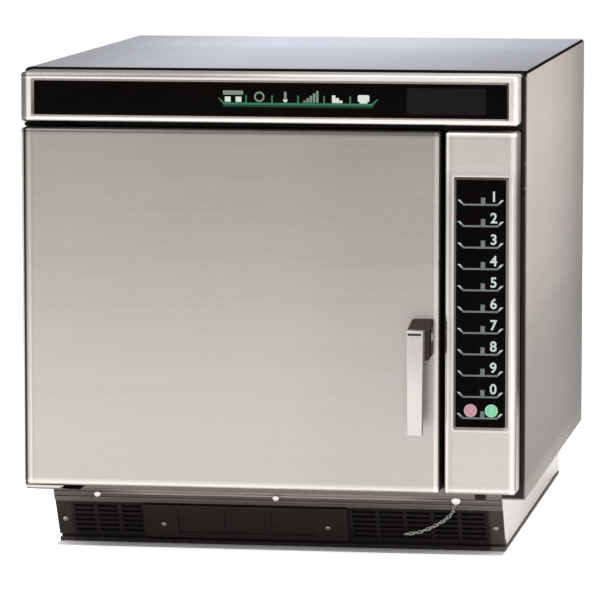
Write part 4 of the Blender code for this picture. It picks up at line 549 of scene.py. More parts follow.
def grained(finish, along, shade, roughness, grain):
    """Brushed grain that runs along one axis, over a shade of the steel's colour."""
    stretch = {"X": (14, 900, 900), "Y": (900, 14, 900), "Z": (900, 900, 14)}[along]
    streaks = finish.noise(1.0, 3.0, 0.65, stretch)
    wide = finish.noise(1.0, 2.0, 0.5, tuple(v / 6 for v in stretch))
    cloud = finish.noise(7.0, 3.0, 0.5)
    fine = finish.noise(520.0, 2.0, 0.6)
    tone = (1 + (streaks - 0.5) * grain * 1.6 + (wide - 0.5) * grain + (cloud - 0.5) * 0.07
            + (fine - 0.5) * grain * 1.8)
    rough = roughness + (streaks - 0.5) * 0.14 + (cloud - 0.5) * 0.06
    return finish.done(finish.shade(shade, tone), rough, streaks, 0.00003)


@once
def door_steel():
    steel = bpy.context.scene.oven_steel
    finish = Finish("door brushed steel", steel.warm, steel.roughness, 1.0)
    low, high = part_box("door_outer_panel")
    # Painted light and shade up the door: a painted highlight on the bottom bend, darker towards the top, and
    # painted shade on the top bend
    rise = finish.profile("Z", low[2], (
        (0.0, 0.22), (0.0008, 0.45), (0.0018, 0.56), (0.0026, 0.76), (0.0036, 0.73), (0.0047, 0.61),
        (0.0060, 0.55), (0.0075, 0.46), (0.045, 0.45), (0.095, 0.434), (0.145, 0.418), (0.190, 0.402),
        (0.235, 0.388), (0.280, 0.378), (0.325, 0.357), (0.3400, 0.350), (0.3416, 0.32), (0.3425, 0.28),
        (0.3434, 0.17), (0.3455, 0.13), (0.347, 0.10)))
    # Painted light and shade across the door: bright at the left edge, a painted dark line, a painted
    # highlight just inside it, and a painted highlight on the right bend
    across = finish.profile("X", low[0], (
        (0.0, 1.55), (0.0020, 1.55), (0.0026, 0.08), (0.0041, 0.08), (0.0050, 0.55), (0.0058, 0.95),
        (0.0068, 1.05), (0.0076, 1.32), (0.0088, 1.32), (0.0097, 0.98), (0.0107, 0.90), (0.0125, 1.0),
        (0.250, 1.0), (0.330, 0.95), (0.4004, 0.95), (0.4014, 1.25), (0.4024, 1.46), (0.4033, 1.40),
        (0.4042, 1.20), (0.406, 1.35)))
    # Warmer towards the top: a painted reflection
    top_reflection_mix = finish.profile("Z", low[2], ((0.10, 0.0), (0.345, 1.0)))
    colour = finish.tint(top_reflection_mix, tuple(steel.warm), tuple(steel.warm_top_reflection))
    return grained(finish, "X", finish.shade(colour, rise * across), steel.roughness, steel.grain)


@once
def panel_steel():
    steel = bpy.context.scene.oven_steel
    finish = Finish("control panel brushed steel", steel.warm, steel.roughness, 1.0)
    low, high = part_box("control_panel")
    # Painted light and shade up the panel: painted highlights on the bottom and top bends, lighter and darker
    # bands between
    rise = finish.profile("Z", low[2], (
        (0.0, 0.28), (0.0010, 0.50), (0.0024, 0.60), (0.0032, 0.76), (0.0043, 0.72), (0.0052, 0.58),
        (0.0064, 0.52), (0.0080, 0.485), (0.075, 0.48), (0.105, 0.51), (0.150, 0.45), (0.200, 0.41),
        (0.280, 0.39), (0.303, 0.45), (0.313, 0.53), (0.3390, 0.525), (0.3412, 0.49), (0.3424, 0.51),
        (0.3433, 0.68), (0.3442, 0.78), (0.3452, 0.86), (0.3460, 0.97), (0.347, 1.0)))
    # Painted light and shade across the panel: painted highlights on its left and right bends, darker at its
    # right edge
    across = finish.profile("X", low[0], (
        (0.0, 0.30), (0.0010, 0.60), (0.0016, 1.0), (0.0024, 1.45), (0.0034, 1.42), (0.0044, 1.0),
        (0.0052, 0.90), (0.0070, 0.94), (0.0100, 1.0), (0.0620, 1.0), (0.0634, 1.35), (0.0650, 1.50),
        (0.0664, 1.45), (0.0673, 1.20), (0.0682, 0.70), (0.0690, 0.40)))
    # A painted highlight in a strip along the right side, beside the keypad
    beside = (finish.profile("Z", low[2], ((0.060, 0.0), (0.080, 0.6), (0.290, 0.6), (0.312, 0.0)))
              * finish.profile("X", low[0], ((0.0570, 0.0), (0.0595, 1.0), (0.0640, 1.0), (0.0660, 0.0))))
    tone = rise * across * (beside + 1)
    return grained(finish, "X", finish.shade(steel.warm, tone), steel.roughness - 0.04, steel.grain)


@once
def bezel_steel():
    steel = bpy.context.scene.oven_steel
    finish = Finish("bezel brushed steel", steel.warm, steel.roughness, 1.0)
    low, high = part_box("display_bezel")
    # Painted light and shade up the bezel's bends and face, one set for its left end and one for its right,
    # blended along its length
    left = finish.profile("Z", low[2], (
        (0.0, 0.18), (0.0010, 0.34), (0.0018, 0.38), (0.0026, 0.86), (0.0038, 0.92), (0.0047, 0.66),
        (0.0056, 0.60), (0.0400, 0.62), (0.0410, 0.84), (0.0430, 0.84), (0.0438, 0.40), (0.0448, 0.24),
        (0.0475, 0.20)))
    right = finish.profile("Z", low[2], (
        (0.0, 0.10), (0.0012, 0.44), (0.0022, 0.76), (0.0055, 0.88), (0.0062, 0.60), (0.0400, 0.60),
        (0.0415, 0.60), (0.0430, 0.78), (0.0458, 0.78), (0.0470, 0.55), (0.0475, 0.45)))
    along = finish.profile("X", low[0], ((0.12, 0.0), (0.36, 1.0)))
    rise = left + (right - left) * along
    # Painted highlights and shade on its left and right bends
    sides = finish.profile("X", low[0], (
        (0.0, 0.6), (0.0012, 0.24), (0.0046, 0.28), (0.0058, 0.80), (0.0066, 1.15), (0.0080, 1.15),
        (0.0090, 1.0), (0.4720, 1.0), (0.4755, 0.98), (0.4765, 1.2), (0.4772, 1.42), (0.4800, 1.35)))
    # The face at the window's two ends keeps one flat painted tone
    ends = finish.profile("X", low[0], ((0.0108, 1.0), (0.0125, 0.0), (0.4700, 0.0), (0.4716, 1.0)))
    inside = finish.profile("Z", low[2], ((0.0030, 0.0), (0.0060, 1.0), (0.0390, 1.0), (0.0420, 0.0)))
    mask = ends * inside
    tone = (rise * (1 - mask) + mask * 0.66) * sides
    return grained(finish, "X", finish.shade(steel.warm, tone), steel.roughness - 0.04, steel.grain)


@once
def return_steel(node):
    """The folded sides of a fascia piece, in the shade of their neighbours."""
    steel = bpy.context.scene.oven_steel
    finish = Finish("shaded return of " + node, steel.warm, 0.5, 0.0, specular_ior_level=0.0)
    low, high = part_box(node)
    if node == "door_outer_panel":
        tone = finish.profile("Y", low[1], ((0.0, 0.13), (0.010, 0.05), (0.030, 0.02)))
    elif node == "control_panel":
        depth = finish.profile("Y", low[1], ((0.0, 1.0), (0.020, 0.8), (0.030, 0.5), (0.033, 0.02)))
        tone = depth * finish.profile("Z", low[2], (
            (0.0, 0.62), (0.060, 0.42), (0.110, 0.12), (0.290, 0.10), (0.325, 0.20), (0.347, 0.22)))
    else:
        side = finish.profile("Y", low[1], ((0.0, 0.62), (0.020, 0.42), (0.030, 0.30), (0.033, 0.01)))
        top = finish.profile("X", low[0], ((0.0, 0.14), (0.15, 0.20), (0.40, 0.34), (0.48, 0.42)))
        lid = finish.profile("Z", high[2], ((-0.0034, 0.0), (-0.0008, 1.0)))
        tone = side + (top - side) * lid
    return grained(finish, "Y", finish.shade(steel.warm, tone), 0.5, steel.grain)


@once
def recess_shade(node):
    """The dark line between a window and the steel round it: painted shade of the recess wall, lighter and
    darker along its edges as painted light and shade.
    """
    low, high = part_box(node)
    finish = Finish("gasket of " + node, (0.06, 0.055, 0.05), 0.6, 0.0, specular_ior_level=0.0)
    fine = finish.noise(900.0, 2.0)
    up = finish.profile("Z", low[2], ((0.0, 0.30), (0.0030, 0.10), (0.030, 0.16), (0.034, 0.20)))
    if node == "keypad_overlay":
        up = finish.profile("Z", low[2], ((0.0, 0.24), (0.0030, 0.11), (0.236, 0.10), (0.240, 0.05)))
    aside = finish.profile("X", high[0], ((-0.004, 1.0), (0.0, 0.35 if node == "display_window" else 1.7)))
    return finish.done(finish.shade((1.0, 0.92, 0.86), up * aside * (fine * 0.3 + 0.85)), fine * 0.2 + 0.5)


@once
def wrap_steel():
    steel = bpy.context.scene.oven_steel
    finish = Finish("case brushed steel", steel.wrap_side, steel.roughness, 0.5, specular_ior_level=0.0)
    low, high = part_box("case_wrap")
    # Painted shade on the side: darker towards the back, lighter towards the top
    depth = finish.profile("Y", low[1], (
        (0.0, 1.06), (0.094, 1.01), (0.198, 1.0), (0.300, 0.89), (0.406, 0.74), (0.478, 0.56),
        (0.520, 0.44), (0.572, 0.40)))
    rise = finish.profile("Z", low[2], (
        (0.0, 0.70), (0.008, 0.62), (0.022, 0.42), (0.037, 0.40), (0.076, 0.40), (0.116, 0.42),
        (0.155, 0.52), (0.194, 0.70), (0.233, 0.82), (0.272, 0.88), (0.312, 0.94), (0.351, 1.0),
        (0.413, 0.96)))
    side = finish.shade(tuple(steel.wrap_side), depth * rise)
    # Painted light on the lid: lighter in the middle and towards the back
    across = finish.profile("X", low[0], (
        (0.0, 0.45), (0.018, 0.49), (0.048, 0.62), (0.078, 0.76), (0.118, 0.89), (0.158, 1.0),
        (0.238, 0.98), (0.318, 0.93), (0.358, 0.84), (0.398, 0.77), (0.438, 0.65), (0.489, 0.55)))
    back = finish.profile("Y", low[1], ((0.0, 0.60), (0.12, 0.68), (0.30, 0.78), (0.45, 0.98)))
    top = finish.shade(tuple(steel.wrap_top), across * back)
    lid = finish.profile("Z", high[2], ((-0.0036, 0.0), (-0.0006, 1.0)))
    # Painted shade: the dark line along the lid's front edge, where the bezel meets it, the one where the lid
    # turns down into the right side, and the sheet's dark front edge
    reach = finish.profile("X", low[0], ((0.10, low[1] + 0.010), (0.35, low[1] + 0.016)))
    painted_gap_shadow = (reach - finish.axis("Y")).over(0.0) * lid
    corner = (finish.profile("X", high[0], ((-0.0030, 0.0), (-0.0022, 1.0)))
              * finish.profile("Z", high[2], ((-0.0028, 0.0), (-0.0020, 1.0))))
    edge = (finish.axis("Y").under(low[1] + 0.0012)
            * finish.profile("Z", high[2], ((-0.0060, 0.3), (-0.0030, 1.0))))
    dark = painted_gap_shadow.maths("MAXIMUM", corner).maths("MAXIMUM", edge)
    finish.set("Metallic", 0.5 - dark * 0.5)
    tone = finish.blend(dark, finish.blend(lid, side, top), (0.008, 0.007, 0.006, 1.0))
    return grained(finish, "Y", tone, steel.roughness, steel.grain)


@once
def frame_steel():
    """The front frame: black where it shows in the fascia's gaps, as painted shade; brown-grey where it shows
    above the rail.
    """
    plastic = bpy.context.scene.oven_plastic
    finish = Finish("front frame", plastic.black, 0.5, 0.4)
    low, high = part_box("door_outer_panel")
    # The strip is darker along its lower edge and fades to black just under the door and past its right end:
    # painted shadow
    strip = finish.profile("Z", low[2], ((-0.0100, 0.4), (-0.0085, 0.9), (-0.0030, 1.0), (0.0006, 0.0)))
    strip = strip * finish.axis("X").under(0.222)
    fine = finish.noise(700.0, 2.0)
    dark = finish.shade(plastic.black, 0.5 + fine * 0.5)
    return finish.done(finish.blend(strip, dark, finish.shade(plastic.strip, 0.9 + fine * 0.2)),
                       0.42 + fine * 0.16, fine, 0.00004)


@once
def steel(name, tone, roughness, along):
    finish = Finish(name, tone, roughness, 1.0)
    shade = finish.tint(finish.noise(7.0), scaled(tone, 0.96), tone)
    return grained(finish, along, shade, roughness, 0.05)


@once
def bright_steel(name, share=1.0):
    """Cast or turned steel, polished more than the sheets."""
    tone = scaled(bpy.context.scene.oven_steel.bright, share)
    finish = Finish(name, tone, 0.2, 1.0)
    fine = finish.noise(1.0, 3.0, 0.6, (700, 700, 25))
    cloud = finish.noise(40.0)
    return finish.done(finish.tint(fine * 0.5 + cloud * 0.5, scaled(tone, 0.88), tone),
                       0.19 + fine * 0.09 + (cloud - 0.5) * 0.04, fine, 0.00002)


@once
def handle_steel():
    """Bright on the face of the bar, dark on the standoff that stands in its shade, painted as shade in
    brown, with a painted highlight on its outer side.
    """
    tone = scaled(bpy.context.scene.oven_steel.bright, 0.9)
    finish = Finish("handle cast steel", tone, 0.24, 1.0, specular_ior_level=0.0)
    low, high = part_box("door_handle")
    depth = finish.profile("Y", low[1], (
        (0.0, 1.0), (0.0018, 1.0), (0.0035, 0.34), (0.0105, 0.30), (0.0118, 0.075), (0.0136, 0.060),
        (0.0146, 0.008), (0.0200, 0.008), (0.0240, 0.11), (0.044, 0.16)))
    # A painted highlight on the standoff's outer side
    spot = (finish.profile("Y", low[1], ((0.0270, 0.0), (0.0285, 1.0), (0.0350, 1.0), (0.0370, 0.0)))
            * finish.profile("Z", high[2], ((-0.0125, 0.0), (-0.0105, 1.0), (-0.0050, 1.0), (-0.0030, 0.0))))
    # Painted shade: the top dark, the faces behind the bar brown, a lighter ledge at the outer edge
    upper = finish.profile("Z", high[2], ((0.0008, 0.0), (0.0022, 1.0)))
    shaded = finish.profile("Y", low[1], ((0.0100, 0.0), (0.0118, 1.0)))
    outer = finish.axis("X").over((low[0] + high[0]) / 2)
    ledge = finish.profile("X", high[0], ((-0.0005, 1.0), (0.0014, 0.0)))
    inner = finish.profile("Y", low[1], ((0.0018, 1.0), (0.0045, 0.55)))
    depth = (depth + spot * 0.8 + ledge * shaded * 0.14) * outer + (1 - outer) * inner
    depth = depth * (1 - upper) + upper * 0.075
    shaded = shaded * (outer + upper).clamped() * (1 - spot)
    fine = finish.noise(1.0, 3.0, 0.6, (700, 700, 25))
    cloud = finish.noise(26.0, 3.0)
    amount = depth * (fine * 0.08 + cloud * 0.10 + 0.90)
    brown = finish.shade((0.62, 0.47, 0.41), amount)
    finish.set("Base Color", finish.blend(shaded, finish.shade(tone, amount), brown))
    finish.set("Metallic", finish.profile("Y", low[1], ((0.0018, 1.0), (0.0045, 0.0))))
    finish.set("Roughness", 0.22 + fine * 0.08)
    return finish.bump(fine, 0.00002, 0.4).material


@once
def plinth_steel():
    """The plinth's side sheets, lighter towards the front as painted light, with a dark line along their
    lower edge.
    """
    finish = Finish("plinth steel", (0.74, 0.71, 0.69), 0.30, 1.0)
    low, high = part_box("plinth_side_right")
    rise = finish.profile("Z", low[2], ((0.0, 0.03), (0.0016, 0.03), (0.0024, 1.0)))
    # Lighter towards the front: painted light
    depth = finish.profile("Y", low[1], ((0.0, 1.18), (0.10, 1.10), (0.28, 0.92), (0.56, 0.86)))
    finish.set("Metallic", finish.profile("Z", low[2], ((0.0016, 0.0), (0.0024, 1.0))))
    return grained(finish, "Y", finish.shade((0.790, 0.765, 0.735), rise * depth), 0.30, 0.05)


@once
def galvanised():
    finish = Finish("galvanised sheet", (0.50, 0.51, 0.52), 0.45, 0.9)
    spangle = finish.cells(70.0)
    grey = finish.node("ShaderNodeSeparateColor", {}, {"Color": spangle}, 0)
    return finish.done(finish.tint(grey, (0.42, 0.43, 0.44), (0.60, 0.61, 0.62)),
                       0.36 + grey * 0.2, grey, 0.00003)


@once
def black_coat():
    tone = tuple(bpy.context.scene.oven_plastic.black)
    finish = Finish("black coat", tone, 0.5, 0.0, specular_ior_level=0.15)
    peel = finish.noise(900.0, 2.0)
    cloud = finish.noise(18.0, 3.0)
    return finish.done(finish.tint(cloud, scaled(tone, 0.75), scaled(tone, 1.35)),
                       0.42 + peel * 0.16, peel, 0.00008, 0.5)


@once
def rail_coat():
    tone = tuple(bpy.context.scene.oven_plastic.rail)
    finish = Finish("rail coat", tone, 0.42, 0.55)
    cloud = finish.noise(26.0, 3.0, 0.6, (0.5, 1, 1))
    fine = finish.noise(700.0, 2.0)
    low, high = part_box("front_rail")
    # A painted highlight along the rail's upper ridge across its middle, and lighter towards its right end:
    # painted light
    band = (finish.profile("Z", low[2], ((0.0085, 0.0), (0.0100, 1.0), (0.0120, 1.0), (0.0130, 0.5)))
            * finish.profile("X", low[0], ((0.03, 0.0), (0.10, 1.0), (0.34, 1.0), (0.39, 0.2))))
    right = finish.profile("X", low[0], ((0.36, 0.0), (0.40, 1.0), (0.442, 0.6)))
    amount = band * 1.7 + right * 0.25 + cloud * 0.4 + 0.70
    return finish.done(finish.shade(tone, amount), 0.34 + fine * 0.16, fine, 0.00005)


@once
def grille_coat(name="grille coat", share=1.0):
    """Louvre black, lighter on the plain plates at both ends, most at the right, as painted light."""
    tone = tuple(bpy.context.scene.oven_plastic.black)
    finish = Finish(name, tone, 0.5, 0.0, specular_ior_level=0.15)
    peel = finish.noise(900.0, 2.0)
    cloud = finish.noise(18.0, 3.0)
    low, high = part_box("base_grille")
    ends = finish.profile("X", low[0], ((0.013, 1.5), (0.016, 0.75), (0.427, 0.75), (0.430, 3.4)))
    return finish.done(finish.shade(tone, ends * share * (cloud * 0.5 + 0.75)),
                       0.42 + peel * 0.16, peel, 0.00008, 0.5)


@once
def black_plastic():
    tone = tuple(bpy.context.scene.oven_plastic.black)
    finish = Finish("moulded black plastic", tone, 0.5, 0.0, specular_ior_level=0.15)
    leather = finish.cells(1500.0, output="Distance")
    cloud = finish.noise(30.0)
    return finish.done(finish.tint(cloud, scaled(tone, 0.8), scaled(tone, 1.25)),
                       0.40 + leather * 0.2, leather, 0.00006, 0.5)


@once
def gloss_black():
    plastic = bpy.context.scene.oven_plastic
    tone = tuple(plastic.gloss)
    finish = Finish("gloss black window", tone, plastic.gloss_roughness, 0.0, specular_ior_level=0.02)
    smear = finish.noise(14.0, 3.0)
    return finish.done(finish.tint(smear, tone, scaled(tone, 2.4)), plastic.gloss_roughness + smear * 0.08)


@once
def printed(name, tone, glow):
    """Ink or a lit symbol: it keeps its colour in shade by a little glow."""
    finish = Finish(name, tone, 0.5, 0.0, specular_ior_level=0.035)
    mottle = finish.noise(600.0, 2.0)
    low = scaled(tone, 0.85)
    ink = finish.tint(mottle, low, tone)
    finish.set("Base Color", ink)
    finish.set("Emission Color", ink)
    finish.shader.inputs["Emission Strength"].default_value = glow
    return finish.material


@once
def row_ink():
    """The keypad's row lines: grey along the line, pale at its turned-up ends."""
    keys = bpy.context.scene.oven_keypad
    tone = tuple(keys.grey)
    finish = Finish("keypad row ink", tone, 0.5, 0.0, specular_ior_level=0.035)
    span = keys.right - keys.left
    along = finish.profile("X", keys.left, ((0.0, 3.2), (0.0030, 2.6), (0.0048, 1.0), (span - 0.0050, 1.0),
                                            (span - 0.0034, 3.0), (span, 3.2)))
    ink = finish.shade(tone, along * (finish.noise(600.0, 2.0) * 0.2 + 0.9))
    finish.set("Base Color", ink)
    # A little glow keeps the ink's colour in shade: painted light
    finish.set("Emission Color", ink)
    finish.shader.inputs["Emission Strength"].default_value = 0.35
    return finish.material


@once
def ceramic():
    finish = Finish("matte ceramic", (0.66, 0.63, 0.56), 0.55)
    speck = finish.noise(420.0, 3.0, 0.7)
    stain = finish.noise(14.0, 3.0)
    tone = finish.tint(stain, (0.70, 0.67, 0.60), (0.60, 0.55, 0.47))
    return finish.done(finish.blend(speck.spread(0.62, 0.72, 0.0, 0.4), tone, (0.35, 0.30, 0.24, 1.0)),
                       0.5 + speck * 0.15, speck, 0.0001)


@once
def wool():
    finish = Finish("mineral wool", (0.62, 0.52, 0.32), 0.95)
    strands = finish.noise(90.0, 6.0, 0.8, (1, 4, 4))
    tufts = finish.noise(28.0, 3.0)
    finish.set("Base Color", finish.tint(strands, (0.45, 0.36, 0.20), (0.78, 0.68, 0.46)))
    return finish.bump(strands + tufts, 0.0012, 0.8).material


@once
def rubber(name, shade):
    finish = Finish(name, (shade, shade, shade), 0.75)
    fine = finish.noise(800.0, 2.0)
    dust = finish.noise(40.0, 3.0)
    return finish.done(finish.tint(dust, (shade * 0.8,) * 3, (shade * 1.5,) * 3),
                       0.66 + fine * 0.2, fine, 0.00008, 0.5)


@once
def circuit_board():
    finish = Finish("circuit board", (0.02, 0.15, 0.06), 0.4)
    across = finish.axis("X") * 260
    up = finish.axis("Z") * 260
    lines = (across.maths("SINE") + up.maths("SINE")).spread(0.9, 1.2, 0.0, 1.0)
    cloud = finish.noise(60.0)
    tone = finish.tint(cloud, (0.015, 0.11, 0.045), (0.03, 0.20, 0.08))
    return finish.done(finish.blend(lines, tone, (0.10, 0.34, 0.16, 1.0)),
                       0.34 + cloud * 0.2, lines, 0.00004, 0.5)


@once
def mica():
    finish = Finish("mica sheet", (0.50, 0.44, 0.33), 0.35)
    flakes = finish.node("ShaderNodeSeparateColor", {}, {"Color": finish.cells(260.0)}, 0)
    return finish.done(finish.tint(flakes, (0.42, 0.36, 0.26), (0.62, 0.56, 0.44)),
                       0.24 + flakes * 0.25, flakes, 0.00005, 0.5)


@once
def aluminium():
    finish = Finish("mill aluminium", (0.68, 0.69, 0.70), 0.35, 1.0)
    rolled = finish.noise(1.0, 3.0, 0.6, (600, 12, 600))
    cloud = finish.noise(22.0)
    return finish.done(finish.tint(cloud * 0.6 + rolled * 0.4, (0.58, 0.59, 0.60), (0.76, 0.77, 0.78)),
                       0.28 + rolled * 0.16, rolled, 0.00003)


@once
def heater_steel():
    finish = Finish("heater tube", (0.11, 0.10, 0.10), 0.5, 0.7)
    heat = finish.noise(34.0, 3.0)
    return finish.done(finish.tint(heat, (0.07, 0.065, 0.07), (0.20, 0.16, 0.13)),
                       0.4 + heat * 0.2, finish.noise(900.0), 0.00004)


@once
def laminations():
    finish = Finish("transformer core", (0.05, 0.05, 0.055), 0.45, 0.4)
    stack = (finish.axis("Z") * 5200).maths("SINE") * 0.5 + 0.5
    return finish.done(finish.tint(stack, (0.03, 0.03, 0.035), (0.10, 0.10, 0.11)),
                       0.38 + stack * 0.2, stack, 0.0001, 0.6)


def node_finishes():
    """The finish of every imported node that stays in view."""
    plates = {
        # The upper hinge is gloss black: painted shade in the gap between the door and the bezel
        "front_frame": frame_steel(), "base_pan": rail_coat(), "upper_hinge": gloss_black(),
        "lower_hinge": rail_coat(), "plinth_side_left": plinth_steel(), "plinth_side_right": plinth_steel(),
        "rear_panel": steel("rear steel", (0.55, 0.53, 0.51), 0.40, "X"),
        "heating_element": heater_steel(), "left_transformer": laminations(),
        "right_transformer": laminations(), "base_grille": grille_coat(), "front_rail": rail_coat(),
    }
    by_slot = {
        "brushed_steel": steel("plain steel", (0.56, 0.54, 0.52), 0.34, "X"), "galvanised": galvanised(),
        "black_steel": black_coat(), "rail_steel": rail_coat(), "black_plastic": black_plastic(),
        "black_gloss": gloss_black(), "bright_steel": steel("cavity steel", (0.66, 0.65, 0.64), 0.26, "Y"),
        "ceramic": ceramic(), "wool": wool(), "silicone": rubber("door seal silicone", 0.05),
        "board": circuit_board(), "rubber": rubber("foot rubber", 0.02), "mica": mica(),
        "aluminium": aluminium(),
    }
    slots = {row["node"]: row["material_slot"] for row in frame["record"]["subparts"]}
    for name, thing in frame["nodes"].items():
        finish = plates.get(name) or by_slot[slots[name]]
        thing.data.materials.clear()
        thing.data.materials.append(finish)


# Operators, one for each piece or group of like pieces
class OVEN_OT_finishes(bpy.types.Operator):
    """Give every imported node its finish"""

    bl_idname = "oven.finishes"
    bl_label = "Finishes of the packed nodes"

    def execute(self, context):
        node_finishes()
        return {"FINISHED"}


class OVEN_OT_case(bpy.types.Operator):
    """Make the wrapped case with smooth bends"""

    bl_idname = "oven.case"
    bl_label = "Case wrap"

    def execute(self, context):
        low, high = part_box("case_wrap")
        wrap = folded("case_skin", low, high, ("front", "back", "bottom"), 0.0012, 0.004, wrap_steel(), 8)
        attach(wrap, "case")
        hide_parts("case_wrap")
        return {"FINISHED"}


# The hinge pins' holes in the door skin: their place from its left front edge, length and radius
PIN_PLACE = (0.011, 0.0215)
PIN_HOLE_LENGTH = 0.005
PIN_HOLE_RADIUS = 0.0046


class OVEN_OT_door(bpy.types.Operator):
    """Make the door skin with its rolled edges"""

    bl_idname = "oven.door"
    bl_label = "Door skin"

    def execute(self, context):
        fascia = context.scene.oven_fascia
        low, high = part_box("door_outer_panel")
        skin = folded("door_skin", low, high, ("back",), fascia.sheet, fascia.bend, door_steel(), 8)
        bm = bmesh.new()
        hinge_x, hinge_y = low[0] + PIN_PLACE[0], low[1] + PIN_PLACE[1]
        for start in (low[2] - 0.002, high[2] - 0.003):
            add_rod(bm, (hinge_x, hinge_y, start), PIN_HOLE_LENGTH, PIN_HOLE_RADIUS)
        skin = cut(skin, from_bmesh("pin_cutter", bm), door_steel())
        shade_returns(skin, low[1] + fascia.bend, door_steel(), return_steel("door_outer_panel"))
        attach(skin, "door")
        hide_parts("door_outer_panel")
        return {"FINISHED"}


# How far each window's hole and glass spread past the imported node: left, right, low, high
KEYPAD_HOLE = (0.0021, 0.0025, 0.0012, 0.0025)
KEYPAD_GLASS = (0.0001, -0.0003, -0.0012, 0.0)
WINDOW_HOLE = (0.0032, 0.0012, 0.0004, 0.0027)
WINDOW_GLASS = (0.0003, -0.0007, -0.0012, 0.0007)
# The corner radii of the two holes, how far their cutter reaches, and the depths behind the face of the dark
# rings that paint the recesses' shade
KEYPAD_CORNER = 0.0012
WINDOW_CORNER = 0.0016
HOLE_REACH = 0.004
RECESS_SHADE_DEPTH = (0.0002, 0.0014)


def spread_box(node, spread):
    """A node's left, right, low and high edges, each moved outwards."""
    low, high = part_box(node)
    return low[0] - spread[0], high[0] + spread[1], low[2] - spread[2], high[2] + spread[3]


class OVEN_OT_panels(bpy.types.Operator):
    """Make the control panel and the display bezel, the dark rings that paint the shade in their recesses,
    and the keypad's rim
    """

    bl_idname = "oven.panels"
    bl_label = "Control panel and bezel"

    def execute(self, context):
        fascia = context.scene.oven_fascia
        for name, node, insert, corner, finish, spread in (
                ("panel_skin", "control_panel", "keypad_overlay", KEYPAD_CORNER, panel_steel(), KEYPAD_HOLE),
                ("bezel_skin", "display_bezel", "display_window", WINDOW_CORNER, bezel_steel(), WINDOW_HOLE)):
            low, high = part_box(node)
            skin = folded(name, low, high, ("back",), fascia.sheet, fascia.bend, finish, 8)
            hole = spread_box(insert, spread)
            bm = bmesh.new()
            add_plate(bm, rounded(*hole, corner), low[1] - HOLE_REACH, low[1] + HOLE_REACH)
            skin = cut(skin, from_bmesh(name + "_cutter", bm), finish)
            shade_returns(skin, low[1] + fascia.bend, finish, return_steel(node))
            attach(skin, "case")
            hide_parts(node)
            bm = bmesh.new()
            glass = spread_box(insert, KEYPAD_GLASS if insert == "keypad_overlay" else WINDOW_GLASS)
            add_frame(bm, rounded(*hole, corner), rounded(*glass, corner * 0.6),
                      low[1] + RECESS_SHADE_DEPTH[0], low[1] + RECESS_SHADE_DEPTH[1])
            bmesh.ops.recalc_face_normals(bm, faces=bm.faces)
            # A dark ring in the hole's edge: painted shade of the recess wall
            seal = from_bmesh(name + "_gasket", bm, recess_shade(insert))
            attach(seal, "case")
        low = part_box("control_panel")[0]
        hole, rim = spread_box("keypad_overlay", KEYPAD_HOLE), fascia.rim
        bm = bmesh.new()
        outer = rounded(hole[0] - rim, hole[1] + rim, hole[2] - rim, hole[3] + rim, KEYPAD_CORNER + rim)
        inner, front = rounded(*hole, KEYPAD_CORNER), low[1] - fascia.rim_proud
        add_frame(bm, outer, inner, front, low[1] + RECESS_SHADE_DEPTH[0])
        bmesh.ops.recalc_face_normals(bm, faces=bm.faces)
        soft, finish = fascia.rim_proud * 0.45, bright_steel("rim steel", 0.95)
        trim = edged(from_bmesh("keypad_rim", bm), soft, 2, finish)
        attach(trim, "case")
        return {"FINISHED"}


